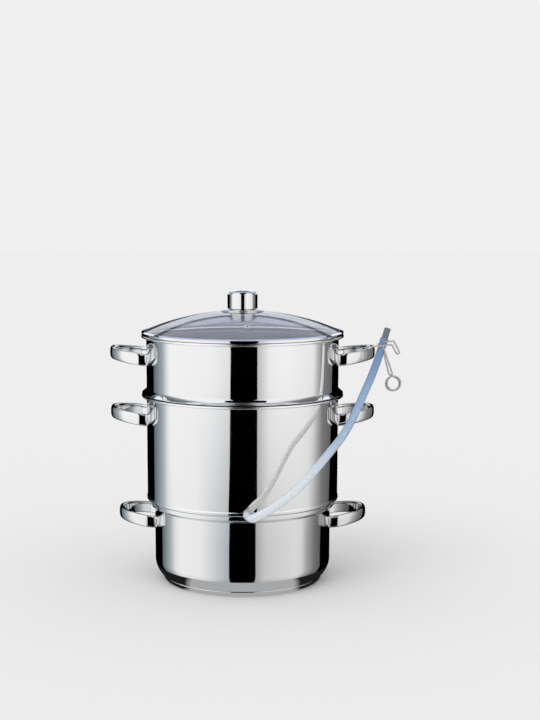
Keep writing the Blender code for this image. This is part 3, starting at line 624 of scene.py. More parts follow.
def sheet_outline(line, thickness):
    """Outline of a sheet from its middle line, with rounded free edges, and whether it is a closed loop."""
    line = held(line)
    half = thickness / 2
    runs = [(second - first).normalized() for first, second in zip(line, line[1:])]
    sides = [Vector((-run.y, run.x)) for run in runs]
    normals = []
    for index in range(len(line)):
        before, after = sides[max(index - 1, 0)], sides[min(index, len(sides) - 1)]
        normals.append((before + after) / (1 + before.dot(after)))
    left = [point + normal * half for point, normal in zip(line, normals)]
    right = [point - normal * half for point, normal in zip(line, normals)]

    def cap(point, side, onward):
        turns = [math.radians(45 * step) for step in (1, 2, 3)]
        return [point + (side * math.cos(turn) + onward * math.sin(turn)) * half for turn in turns]

    outline = list(reversed(left)) + cap(line[0], sides[0], -runs[0]) + right
    loop = line[-1].x > MERGE_DISTANCE
    if loop:
        outline += cap(line[-1], -sides[-1], runs[-1])
    else:
        outline[0].x = 0
        outline[-1].x = 0
    return outline, loop


def turned(name, outline, steps, finish, loop=False, lift=0.0):
    """A closed outline in radius and height, turned about the Z axis and lifted to its seat."""
    count = len(outline)
    edges = [(index, index + 1) for index in range(count - 1)]
    if loop:
        edges.append((count - 1, 0))
    profile = bpy.data.meshes.new(name + "_profile")
    profile.from_pydata([(radius - PIVOT_RADIUS, -height - lift, 0) for radius, height in outline], edges, [])
    return closed(finish_tree_object(name, profile, trees["turned"], steps=steps, material=finishes[finish]))


def pressed(name, line, thickness, steps, finish, lift=0.0):
    """A turned sheet from its middle line."""
    outline, loop = sheet_outline(line, thickness)
    return turned(name, outline, steps, finish, loop, lift)


def satin_inside(item, radius):
    """Gives a vessel's inner faces, and its flat faces out to a radius, a satin finish."""
    item.data.materials.append(finishes["satin_steel"])
    for face in item.data.polygons:
        outward = Vector((face.center.x, face.center.y, 0)).normalized()
        flat = abs(face.normal.z) > FLAT_FROM and face.center.xy.length < radius
        if flat or face.normal.dot(outward) < INWARD_FROM:
            face.material_index = 1
    return item


def brushed_edges(item, wall, bands):
    """Gives the rolled edges of a vessel, between pairs of heights, the finish of its inside."""
    for face in item.data.polygons:
        inside = face.center.xy.length < wall - CLEARANCE
        if not inside and any(low < face.center.z < high for low, high in bands):
            face.material_index = 1
    return item


def laid(item, start, along):
    """Turns a piece built on the Z axis to a direction, in its mesh, and moves it to a point."""
    turn = along.to_track_quat("Z", "Y").to_matrix().to_4x4()
    item.data.transform(Matrix.Translation(start) @ turn)
    return item


def seated(item, body, slot, *nodes):
    """Lets a finished piece ride on its body in the place of its CAD nodes."""
    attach(item, body)
    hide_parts(*nodes)
    return item


def lip(wall, reach, top, face, slant, sheet):
    """Middle line of a rolled rim: its free edge, slanting underside, upright face and top, to the wall."""
    edge = wall + reach
    crest = top - sheet / 2
    turned_under = arc((edge - LIP_EDGE_BEND, top - face), LIP_EDGE_BEND, -slant, 0)
    out, height = turned_under[0]
    free = wall + LIP_GAP
    points = [(free, height - (out - free) / math.tan(math.radians(slant))), *turned_under]
    points += arc((edge - LIP_EDGE_BEND, crest - LIP_EDGE_BEND), LIP_EDGE_BEND, 0, 90)
    points += arc((wall + LIP_ROOT_BEND, crest - LIP_ROOT_BEND), LIP_ROOT_BEND, 90, 180)
    return points


def skirted(skirt, seat, floor):
    """Middle line from a vessel's seat down its skirt and onto its floor."""
    points = arc((skirt + PRESS_BEND, seat - PRESS_BEND), PRESS_BEND, 90, 180)
    return points + arc((skirt - PRESS_BEND, floor + PRESS_BEND), PRESS_BEND, 0, -90)


def tiers(scene):
    """Heights of the kettle's, the basket's and the lid's seats."""
    vessels = scene.juicer_vessels
    kettle = vessels.pan_height + CLEARANCE
    basket = kettle + vessels.kettle_height + CLEARANCE
    return kettle, basket, basket + vessels.basket_height + CLEARANCE


def lengths_along(points):
    """The distance of each point from the first, along a line."""
    lengths = [0.0]
    for first, second in zip(points, points[1:]):
        lengths.append(lengths[-1] + (second - first).length)
    return lengths


def through(points, spacing):
    """Points at even steps along a smooth curve through the given points."""
    ends = [2 * points[0] - points[1], *points, 2 * points[-1] - points[-2]]
    fine = []
    for index in range(1, len(ends) - 2):
        before, here, after, beyond = ends[index - 1:index + 3]
        for share in shares(12)[:-1]:
            fine.append(
                (2 * here + (after - before) * share
                 + (2 * before - 5 * here + 4 * after - beyond) * share ** 2
                 + (3 * here - before - 3 * after + beyond) * share ** 3) / 2
            )
    fine.append(points[-1])
    lengths = lengths_along(fine)
    even = []
    index = 0
    for portion in shares(max(2, round(lengths[-1] / spacing))):
        goal = lengths[-1] * portion
        while index < len(fine) - 2 and lengths[index + 1] < goal:
            index += 1
        share = (goal - lengths[index]) / (lengths[index + 1] - lengths[index])
        even.append(fine[index].lerp(fine[index + 1], min(share, 1)))
    return even


def handling_marks_group():
    """Faint smears and hairline marks of a surface that is wiped and handled."""
    group, given = new_group(
        "Handling Marks", "ShaderNodeTree",
        [
            ("Vector", "Vector", None), ("Roughness", "Float", 0.05), ("Smear", "Float", 0.02),
            ("Smear Size", "Float", 18.0), ("Hairlines", "Float", 0.1),
        ],
        [("Roughness", "Float"), ("Height", "Float")],
    )
    cloud = add(
        group, "ShaderNodeTexNoise",
        {"Vector": given["Vector"], "Scale": given["Smear Size"], "Detail": 4.0},
    )
    smear = ranged(group, cloud, *SMEAR_RANGE)
    rise = worked(group, "MULTIPLY_ADD", smear, given["Smear"], given["Roughness"])
    stretched = add(group, "ShaderNodeMapping", {"Vector": given["Vector"], "Scale": HAIRLINE_STRETCH})
    lines = add(group, "ShaderNodeTexNoise", {"Vector": stretched, "Scale": 1.0, "Detail": 2.0})
    height = worked(group, "MULTIPLY", lines, given["Hairlines"])
    add(group, "NodeGroupOutput", {"Roughness": rise, "Height": height})
    return group


def spun_rings_group():
    """Fine concentric rings of steel that was brushed while it turned."""
    group, given = new_group(
        "Spun Rings", "ShaderNodeTree",
        [
            ("Vector", "Vector", None), ("Density", "Float", 2600.0), ("Roughness", "Float", 0.25),
            ("Spread", "Float", 0.1),
        ],
        [("Roughness", "Float"), ("Height", "Float")],
    )
    parts = add(group, "ShaderNodeSeparateXYZ", {"Vector": given["Vector"]}).outputs
    flat = add(group, "ShaderNodeCombineXYZ", {"X": parts["X"], "Y": parts["Y"]})
    radius = add(group, "ShaderNodeVectorMath", {0: flat}, operation="LENGTH").outputs["Value"]
    place = add(group, "ShaderNodeCombineXYZ", {"X": radius, "Y": parts["Z"]})
    rings = add(group, "ShaderNodeTexNoise", {"Vector": place, "Scale": given["Density"], "Detail": 3.0})
    patches = add(
        group, "ShaderNodeTexNoise", {"Vector": given["Vector"], "Scale": PATCH_SCALE, "Detail": 3.0}
    )
    mix = worked(group, "MULTIPLY", rings, patches)
    rough = worked(group, "MULTIPLY_ADD", mix, given["Spread"], given["Roughness"])
    add(group, "NodeGroupOutput", {"Roughness": rough, "Height": rings})
    return group


def new_material(name, colour, values):
    """A material whose Principled shader has constants on its own sockets."""
    material = bpy.data.materials.new(name)
    material.use_nodes = True
    shader = material.node_tree.nodes["Principled BSDF"]
    for label, value in {"Base Color": (*colour, 1.0), **values}.items():
        shader.inputs[label].default_value = value
    return material


def marked(material, group, strength, depth, values):
    """Links a shared effect to a material's roughness and bump."""
    tree = material.node_tree
    shader = tree.nodes["Principled BSDF"]
    place = add(tree, "ShaderNodeTexCoord")
    effect = add(tree, "ShaderNodeGroup", node_tree=group)
    for label, value in values.items():
        effect.inputs[label].default_value = value
    tree.links.new(place.outputs["Object"], effect.inputs["Vector"])
    tree.links.new(effect.outputs["Roughness"], shader.inputs["Roughness"])
    bump = add(
        tree, "ShaderNodeBump",
        {"Strength": strength, "Distance": depth, "Height": effect.outputs["Height"]},
    )
    tree.links.new(bump.outputs["Normal"], shader.inputs["Normal"])
    return material


def colour_ramp(tree, share, stops):
    """A colour that changes through stops of position and colour."""
    node = add(tree, "ShaderNodeValToRGB", {"Fac": share})
    elements = node.color_ramp.elements
    for index, (position, colour) in enumerate(stops):
        stop = elements[index] if index < 2 else elements.new(position)
        stop.position = position
        stop.color = (*colour, 1)
    return node


def tint_hose_and_paint_light(material, tones):
    """Tints the hose along its length, darker where its wall is seen edge-on, and paints light on it.

    Its pale tint near the kettle is partly painted light: the bright steel seen through the tube. In a mirror
    it is painted pale and gives off a little light, a painted reflection, because the render would show its
    shaded back too dark there.
    """
    tree = material.node_tree
    shader = tree.nodes["Principled BSDF"]
    place = add(tree, "ShaderNodeTexCoord")
    parts = add(tree, "ShaderNodeSeparateXYZ", {"Vector": place.outputs["UV"]})
    colours = (tones.silicone, tones.silicone_middle, tones.silicone_upper, tones.silicone_end)
    along = colour_ramp(tree, parts.outputs["Y"], zip(HOSE_TINT_AND_LIGHT_STOPS, colours))
    # Painted reflection: in mirrors the hose is painted pale and glows, which lifts its shaded back
    mirror = add(tree, "ShaderNodeLightPath").outputs["Is Glossy Ray"]
    facing = add(tree, "ShaderNodeLayerWeight", {"Blend": 0.5})
    rim = ranged(tree, facing.outputs["Facing"], *HOSE_RIM)
    sides = (
        ("Base Color", along, MIRROR_PAINTED_PALE_HOSE, tones.silicone_edge),
        ("Emission Color", (*BLACK, 1), MIRROR_PAINTED_GLOW, BLACK),
    )
    for socket, seen, mirrored, edge in sides:
        middle = blended(tree, mirror, seen, (*mirrored, 1))
        tree.links.new(blended(tree, rim, middle, (*edge, 1)), shader.inputs[socket])


def make_materials(tones):
    """All finishes of the juicer by name."""
    effects = {"marks": handling_marks_group(), "rings": spun_rings_group()}
    for name, (tone_name, effect, strength, depth, own_values, effect_values) in FINISHES.items():
        material = new_material(name, getattr(tones, tone_name), own_values)
        finishes[name] = marked(material, effects[effect], strength, depth, effect_values)
    tint_hose_and_paint_light(finishes["silicone"], tones)


class JUICER_OT_studio(Operator):
    """Makes the floor, the soft light, the reflection tent and the camera"""

    bl_idname = "juicer.studio"
    bl_label = "Studio"

    def execute(self, context):
        tones = context.scene.juicer_tones
        make_camera(context.scene)
        make_world(context.scene, tones)
        make_floor(tones)
        make_tent()
        make_sun()
        context.scene.view_settings.view_transform = "Standard"
        return {"FINISHED"}


CAMERA_BACK = 1.95
CAMERA_HEIGHT = 0.52
CAMERA_PITCH = math.radians(9.3)
CAMERA_LENS = 71.9
CAMERA_SENSOR = 36.0
CAMERA_SHIFT = (0.0382, 0.1026)
FLOOR_REACH = 12.0
AMBIENT = 0.86
SUN_STRENGTH = 0.50
SUN_SPREAD = math.radians(40)
SUN_TURN = (math.radians(32), math.radians(-24), 0)


def make_camera(scene):
    """The camera that the photograph was fitted with."""
    lens = bpy.data.cameras.new("photo_camera")
    lens.lens = CAMERA_LENS
    lens.sensor_width = CAMERA_SENSOR
    lens.shift_x, lens.shift_y = CAMERA_SHIFT
    camera = placed("photo_camera", lens)
    camera.location = (0, -CAMERA_BACK, CAMERA_HEIGHT)
    camera.rotation_euler = (math.pi / 2 - CAMERA_PITCH, 0, 0)
    scene.camera = camera


def make_world(scene, tones):
    """An even soft light, with the pale background for the camera, for metal and through glass."""
    world = bpy.data.worlds.new("studio")
    world.use_nodes = True
    tree = world.node_tree
    tree.nodes.clear()
    path = add(tree, "ShaderNodeLightPath").outputs
    seen = worked(tree, "MAXIMUM", path["Is Camera Ray"], path["Is Glossy Ray"])
    seen = worked(tree, "MAXIMUM", seen, path["Is Transmission Ray"])
    light = add(tree, "ShaderNodeBackground", {"Color": (1, 1, 1, 1), "Strength": AMBIENT})
    pale = add(tree, "ShaderNodeBackground", {"Color": (*tones.floor, 1), "Strength": 1.0})
    mix = add(tree, "ShaderNodeMixShader", {0: seen, 1: light, 2: pale})
    add(tree, "ShaderNodeOutputWorld", {"Surface": mix})
    scene.world = world


def surface(name, vertices, faces, material):
    """A flat or curved surface without thickness, for the studio."""
    mesh = bpy.data.meshes.new(name)
    mesh.from_pydata(vertices, [], faces)
    mesh.materials.append(material)
    return placed(name, mesh)


def make_floor(tones):
    """The plain pale floor."""
    corners = [(x * FLOOR_REACH, y * FLOOR_REACH, 0) for x, y in ((-1, -1), (1, -1), (1, 1), (-1, 1))]
    material = new_material("floor", tones.floor, {"Roughness": 0.7, "Specular IOR Level": 0.0})
    floor = surface("floor", corners, [(0, 1, 2, 3)], material)
    floor.visible_glossy = False


# The reflection tent: azimuth from the front in degrees, and the light that the steel shows there,
# low down beside the pan and high up beside the basket
TENT_RADIUS = 0.32
TENT_FOOT = -0.30
TENT_TOP = 1.90
TENT_STEPS = 240
LOW_HEIGHT = 0.02
HIGH_HEIGHT = 0.28
LOW_TONES = (
    (-112, 0.12), (-100, 0.33), (-90, 0.55), (-82, 0.90), (-72, 1.03), (-46, 1.00), (-13, 0.53),
    (13, 0.44), (24, 0.70), (58, 0.85), (68, 0.80), (76, 0.45), (90, 0.20), (107, 0.10),
)
HIGH_TONES = (
    (-112, 0.12), (-100, 0.30), (-90, 0.48), (-84, 0.80), (-78, 1.10), (-29, 1.07), (-13, 0.95),
    (13, 0.58), (25, 1.03), (40, 1.09), (75, 0.98), (82, 0.55), (90, 0.25), (107, 0.17),
)
COOLNESS = 0.27
TENT_EDGES = (-113.0, 113.5)

# Flags with a height and the azimuths of the two edges there
FLAG_RADIUS = 0.318
FRONT_FLAG = (
    (-0.30, -15.0, 13.8), (0.02, -14.0, 13.6), (0.15, -11.9, 13.6), (0.30, -10.9, 13.7), (0.55, -10.9, 13.7),
    (0.62, -19.0, 27.0), (0.70, -25.0, 36.0), (0.80, -28.0, 40.0), (1.30, -50.0, 68.0), (1.90, -52.0, 70.0),
)
BACK_FLAG = ((-0.30, 101, 250), (0.00, 103, 250), (0.13, 108, 250), (0.27, 112, 250.4), (0.400, 112, 250.4))

# Bands behind the object, with their heights and tones
BACK_BANDS = (
    ("back_band", (0.400, 0.487), (1.05, 1.10, 1.15)),
    ("back_strip", (0.487, 0.522), BLACK),
    ("back_sky", (0.522, 0.95), (0.62, 0.66, 0.88)),
    ("upper_sky", (0.95, 1.90), (0.40, 0.42, 0.52)),
)

# The light behind the object, and what stands behind the lid: heights, azimuths of the edges and tone
REAR_LIGHT = ((-0.25, 0.400), (158, 202), (0.86, 0.88, 0.91))
REAR_FADE = (math.radians(158), math.radians(172))
LID_BACKDROP = ((0.15, 0.50), (110, 250), (0.28, 0.305, 0.39))

# The arch behind the lid, a dark card that paints a dark reflection along the glass's thick edge: height of
# its crest, its fall, its thickness, and its reach in degrees
LID_ARC = (0.3376, 0.155, 0.0038, 27)

# The strip overhead: its sides, its ends, its height and its tone
OVERHEAD_STRIP = ((-0.25, 0.30), (-0.33, 0.0), 1.85, (0.004, 0.006, 0.014))

# The height below which the tent is dimmer, and how bright it is at its foot
FOOT_SHADE = (-0.06, 0.5)

# The table close by, which fades between two azimuths into painted shade, the floor under the pan in its
# shadow, and the one far below
TABLE_RADIUS = 0.141
TABLE_STEPS = 96
TABLE_TONE = (0.47, 0.475, 0.48)
TABLE_SHADE_FADE = (math.radians(41), math.radians(48))
TABLE_SIDE_SHADE = 0.03
DEEP_SPREAD = 3


def blank_material(name):
    """A material without nodes."""
    material = bpy.data.materials.new(name)
    material.use_nodes = True
    material.node_tree.nodes.clear()
    return material


def shining(material, colour, strength=1.0):
    """Ends a material in a light that it gives off."""
    light = add(material.node_tree, "ShaderNodeEmission", {"Color": colour, "Strength": strength})
    add(material.node_tree, "ShaderNodeOutputMaterial", {"Surface": light})
    return material


def glow(name, colour):
    """A material that gives off a plain light."""
    return shining(blank_material(name), (*colour, 1))


def azimuth_and_height(tree):
    """The azimuth of a place from the front, to the right, in radians, and its height."""
    place = add(tree, "ShaderNodeTexCoord")
    parts = add(tree, "ShaderNodeSeparateXYZ", {"Vector": place.outputs["Object"]}).outputs
    front = worked(tree, "MULTIPLY", parts["Y"], -1.0)
    return worked(tree, "ARCTAN2", parts["X"], front), parts["Z"]


def faded_glow(name, colour, fade, strengths):
    """A material that gives off a light which fades with the azimuth away from the front, on both sides."""
    material = blank_material(name)
    tree = material.node_tree
    aside = worked(tree, "ABSOLUTE", azimuth_and_height(tree)[0])
    return shining(material, (*colour, 1), ranged(tree, aside, *fade, *strengths))


def tone_ramp(tree, share, tones):
    """A colour ramp over the azimuth, cooler where the left side is dark."""
    stops = []
    for azimuth, light in tones:
        cool = COOLNESS * (1 - min(light, 1)) if azimuth < 0 else 0
        stops.append((azimuth / 360 + 0.5, (light * (1 - cool), light * (1 - cool / 3), light)))
    return colour_ramp(tree, share, stops)


def soft_boxes_glow():
    """The tent's own light, which changes with the azimuth and the height and is dimmer at its foot."""
    material = blank_material("soft_boxes")
    tree = material.node_tree
    angle, height = azimuth_and_height(tree)
    share = ranged(tree, angle, -math.pi, math.pi)
    low, high = (tone_ramp(tree, share, tones) for tones in (LOW_TONES, HIGH_TONES))
    light = blended(tree, ranged(tree, height, LOW_HEIGHT, HIGH_HEIGHT), low, high)
    shade_top, shade = FOOT_SHADE
    return shining(material, light, ranged(tree, height, TENT_FOOT, shade_top, shade, 1.0))


def make_card(name, vertices, faces, material, through_glass=False):
    """A lit or dark surface that the camera, the lamps and the floor don't see, but polished steel does."""
    card = surface(name, vertices, faces, material)
    card.visible_camera = False
    card.visible_diffuse = False
    card.visible_glossy = not through_glass
    card.visible_transmission = through_glass
    card.visible_shadow = False
    card.visible_volume_scatter = False


def wall_band(name, radius, levels, material, through_glass=False):
    """An upright curved card, given by heights and by the azimuths of its edges at each height."""
    span = max(end - start for _height, start, end in levels)
    steps = max(2, round(TENT_STEPS * span / 360))
    vertices = []
    for height, start, end in levels:
        for share in shares(steps):
            angle = math.radians(start + (end - start) * share)
            vertices.append((radius * math.sin(angle), -radius * math.cos(angle), height))
    faces = []
    for level in range(len(levels) - 1):
        for step in range(steps):
            corner = level * (steps + 1) + step
            faces.append((corner, corner + 1, corner + steps + 2, corner + steps + 1))
    make_card(name, vertices, faces, material, through_glass)


def plain_band(name, radius, heights, edges, material, through_glass=False):
    """An upright curved card with upright edges."""
    wall_band(name, radius, [(height, *edges) for height in heights], material, through_glass)


def make_tent():
    """Soft boxes, dark flags and bands round the object, which only its polished surfaces show."""
    left, right = TENT_EDGES
    plain_band("soft_boxes", TENT_RADIUS, (TENT_FOOT, TENT_TOP), TENT_EDGES, soft_boxes_glow())
    dark = glow("flag", BLACK)
    wall_band("front_flag", FLAG_RADIUS, FRONT_FLAG, dark)
    wall_band("back_flag", FLAG_RADIUS, BACK_FLAG, dark)
    for name, heights, tone_there in BACK_BANDS:
        plain_band(name, TENT_RADIUS, heights, (right, 360 + left), glow(name, tone_there))
    heights, edges, tone_there = REAR_LIGHT
    light = faded_glow("rear_light", tone_there, REAR_FADE, (0.0, 1.0))
    plain_band("rear_light", FLAG_RADIUS - CLEARANCE, heights, edges, light)
    (west, east), (near, far), height, tone_there = OVERHEAD_STRIP
    corners = [(west, near, height), (east, near, height), (east, far, height), (west, far, height)]
    make_card("overhead_strip", corners, [(0, 1, 2, 3)], glow("overhead_strip", tone_there))
    heights, edges, tone_there = LID_BACKDROP
    backdrop = glow("lid_backdrop", tone_there)
    plain_band("lid_backdrop", TENT_RADIUS + CLEARANCE, heights, edges, backdrop, through_glass=True)
    make_lid_arc(dark)
    make_table_cards()


def make_lid_arc(dark):
    """A thin dark arch behind the lid, seen only through the glass: a painted dark reflection along the
    glass's thick edge.
    """
    crest, fall, thick, reach = LID_ARC
    vertices = []
    for degrees in range(-reach, reach + 1):
        angle = math.radians(degrees)
        height = crest - fall * angle ** 2
        for edge in (height - thick / 2, height + thick / 2):
            vertices.append((TENT_RADIUS * math.sin(angle), TENT_RADIUS * math.cos(angle), edge))
    faces = [(at, at + 1, at + 3, at + 2) for at in range(0, 4 * reach, 2)]
    make_card("lid_arc", vertices, faces, dark, through_glass=True)


def make_table_cards():
    """The table as the pan's rounded corner shows it: painted shade at the sides close by, where the floor
    lies in the pan's shadow, and even far below.
    """
    close_by = faded_glow("table_card", TABLE_TONE, TABLE_SHADE_FADE, (1.0, TABLE_SIDE_SHADE))
    cards = (
        ("table_card", TABLE_RADIUS, CLEARANCE / 2, close_by),
        ("deep_card", TABLE_RADIUS * DEEP_SPREAD, TENT_FOOT, glow("deep_card", TABLE_TONE)),
    )
    for name, radius, height, material in cards:
        ring = [
            (radius * math.cos(math.tau * share), radius * math.sin(math.tau * share), height)
            for share in shares(TABLE_STEPS)[:-1]
        ]
        make_card(name, ring, [tuple(range(TABLE_STEPS))], material)


def make_sun():
    """A broad soft lamp from the upper left, which gives the floor its shadow."""
    light = bpy.data.lights.new("soft_lamp", "SUN")
    light.energy = SUN_STRENGTH
    light.angle = SUN_SPREAD
    lamp = placed("soft_lamp", light)
    lamp.rotation_euler = SUN_TURN
    lamp.visible_glossy = False
    lamp.visible_transmission = False


class JUICER_OT_pan(Operator):
    """Makes the water pan and its sandwich base"""

    bl_idname = "juicer.pan"
    bl_label = "Water Pan"

    def execute(self, context):
        vessels = context.scene.juicer_vessels
        sheet = vessels.sheet
        steps = vessels.turning_steps
        outer = vessels.pan_radius + sheet
        wall = vessels.pan_radius + sheet / 2
        bend = vessels.pan_corner - sheet / 2
        base_top = BASE_SHEET + CLEARANCE + vessels.base_core + CLEARANCE
        top = vessels.pan_height
        line = lip(wall, vessels.lip_reach, top, PAN_LIP_FACE, PAN_LIP_SLANT, sheet)
        line += arc((wall - bend, vessels.pan_corner), bend, 0, -CORNER_TURN, 24)
        crease = line[-1][0] - 2 * sheet
        line += [(crease, base_top + sheet / 2), (0, base_top + sheet / 2)]
        pan = pressed("pan", line, sheet, steps, "polished_steel")
        satin_inside(pan, crease + sheet)
        underside = (top - 2 * BRUSHED_DEPTH, top - PAN_LIP_FACE - CLEARANCE)
        brushed_edges(pan, wall, (underside, (top - CLEARANCE, top)))
        seated(pan, "pan", "polished_steel", "pan_body")

        radius = outer - vessels.base_inset
        middle = radius - BASE_SHEET / 2
        bend = BASE_BEND - BASE_SHEET / 2
        cap = [(middle, base_top - CLEARANCE), *arc((middle - bend, BASE_BEND), bend, 0, -90, 12)]
        base = pressed("base_cap", [*cap, (0, BASE_SHEET / 2)], BASE_SHEET, steps, "polished_steel")
        satin_inside(base, radius - BASE_BEND)
        seated(base, "pan", "satin_steel", "pan_base_cap")

        core_top = BASE_SHEET + CLEARANCE + vessels.base_core
        outline = chamfered(0, radius - BASE_BEND, core_top, vessels.base_core, CLEARANCE)
        core = turned("base_core", outline, steps, "aluminium")
        seated(core, "pan", "aluminium", "pan_base_core")
        return {"FINISHED"}


def spout_frame(scene):
    """Where the outlet's axis meets the kettle's wall, and the way it points."""
    vessels = scene.juicer_vessels
    outer = vessels.kettle_radius + vessels.sheet
    back = math.sqrt(outer ** 2 - SPOUT_RIGHT ** 2)
    start = Vector((SPOUT_RIGHT, -back, tiers(scene)[0] + SPOUT_RISE))
    return start, Vector((math.sin(SPOUT_SLANT), -math.cos(SPOUT_SLANT), 0))


class JUICER_OT_kettle(Operator):
    """Makes the juice kettle with its steam funnel and outlet stub"""

    bl_idname = "juicer.kettle"
    bl_label = "Juice Kettle"

    def execute(self, context):
        vessels = context.scene.juicer_vessels
        outlet = context.scene.juicer_outlet
        sheet = vessels.sheet
        steps = vessels.turning_steps
        lift = tiers(context.scene)[0]
        wall = vessels.kettle_radius + sheet / 2
        skirt = vessels.pan_radius - KETTLE_FIT - sheet / 2
        seat = sheet / 2
        floor = seat - vessels.trough_depth
        bead = wall + KETTLE_BEAD_REACH
        bead_top = KETTLE_BEAD_LOW + KETTLE_BEAD_HEIGHT
        line = lip(wall, vessels.lip_reach, vessels.kettle_height, LIP_FACE, LIP_SLANT, sheet)
        for share in shares(8):
            swell = KETTLE_BEAD_REACH * (1 - math.cos(math.pi * share)) / 2
            line.append((wall + swell, bead_top + KETTLE_BEAD_REACH * 2 * (1 - share)))
        line.append((bead, KETTLE_BEAD_LOW))
        line += arc((bead - PRESS_BEND, seat + PRESS_BEND), PRESS_BEND, -15, -90)
        line += [*skirted(skirt, seat, floor), (vessels.funnel_foot, floor)]
        kettle = pressed("kettle", line, sheet, steps, "polished_steel", lift)
        satin_inside(kettle, skirt)
        shoulder = lift + bead_top
        top = lift + vessels.kettle_height
        swelling = (shoulder - CLEARANCE, shoulder + 2 * KETTLE_BEAD_REACH)
        brushed_edges(kettle, wall, ((top - BRUSHED_DEPTH, top - 2 * CLEARANCE), swelling))
        seated(kettle, "kettle", "polished_steel", "kettle_body")

        base = floor + sheet + CLEARANCE
        mouth_height = vessels.kettle_height + CLEARANCE - vessels.floor_depth - FUNNEL_HEADROOM
        foot, mouth = vessels.funnel_foot, vessels.funnel_top
        roll = 3 * sheet / 2
        line = arc((mouth + roll, mouth_height - roll), roll, -60, 180)
        line += [(foot, base + 2 * PRESS_BEND), (foot + PRESS_BEND / 4, base + PRESS_BEND / 2)]
        line += [(foot + PRESS_BEND, base), (foot + FUNNEL_FLANGE, base)]
        funnel = pressed("steam_funnel", line, sheet, steps, "satin_steel", lift)
        seated(funnel, "kettle", "satin_steel", "kettle_funnel")

        outside = outlet.spout_length - SPOUT_INSIDE
        thick, bore = outlet.spout_radius, outlet.spout_bore
        barb, collar = thick + SPOUT_BARB, thick + SPOUT_COLLAR
        tip, shaft, barb_tip, barb_foot, neck = (outside * share for share in SPOUT_SHARES)
        outline = [
            (bore, outside), (thick - CLEARANCE, outside), (thick, tip), (thick, shaft), (barb, barb_tip),
            (barb, barb_foot), (thick, neck), (thick, 3 * SPOUT_COLLAR),
            (thick + SPOUT_COLLAR / 2, SPOUT_COLLAR), (collar, 0), (collar, -SPOUT_COLLAR),
            (thick, -SPOUT_COLLAR), (thick, -SPOUT_INSIDE), (bore, -SPOUT_INSIDE),
        ]
        spout = turned("outlet_stub", outline, SMALL_STEPS, "polished_steel", loop=True)
        laid(spout, *spout_frame(context.scene))
        seated(spout, "kettle", "polished_steel", "kettle_spout")
        return {"FINISHED"}


class JUICER_OT_basket(Operator):
    """Makes the steam basket with its perforated floor"""

    bl_idname = "juicer.basket"
    bl_label = "Steam Basket"

    def execute(self, context):
        vessels = context.scene.juicer_vessels
        holes = context.scene.juicer_holes
        sheet = vessels.sheet
        lift = tiers(context.scene)[1]
        wall = vessels.basket_radius + sheet / 2
        skirt = vessels.kettle_radius - BASKET_FIT - sheet / 2
        seat = sheet / 2
        floor = seat - vessels.floor_depth
        edge = wall + vessels.flare_reach
        line = lip(wall, vessels.lip_reach, vessels.basket_height, LIP_FACE, LIP_SLANT, sheet)
        tip = seat + BASKET_TIP_LIFT + BASKET_TIP_BEND
        for share in shares(16):
            reach = vessels.flare_reach * share ** BASKET_FLARE_CURVE
            line.append((wall + reach, tip + (vessels.flare_height - tip) * (1 - share)))
        line += arc((edge - BASKET_TIP_BEND, tip), BASKET_TIP_BEND, 0, -90)
        line += [(wall + PRESS_BEND, seat), *skirted(skirt, seat, floor), (0, floor)]
        blank = pressed("basket_blank", line, sheet, vessels.turning_steps, "polished_steel", lift)
        basket = finish_tree_object(
            "basket", blank.data.copy(), trees["holes"], rings=holes.rings, ring_step=holes.ring_step,
            hole_radius=holes.hole_radius, floor_height=lift + floor, cut_depth=6 * sheet,
            material=finishes["polished_steel"],
        )
        bpy.data.objects.remove(blank, do_unlink=True)
        satin_inside(shaded(basket), skirt)
        top = lift + vessels.basket_height
        brushed_edges(basket, wall, ((top - BRUSHED_DEPTH, top - 2 * CLEARANCE),))
        seated(basket, "basket", "polished_steel", "basket_body")
        return {"FINISHED"}


def in_plan(angle):
    """The direction at an angle in plan."""
    return Vector((math.cos(angle), math.sin(angle)))


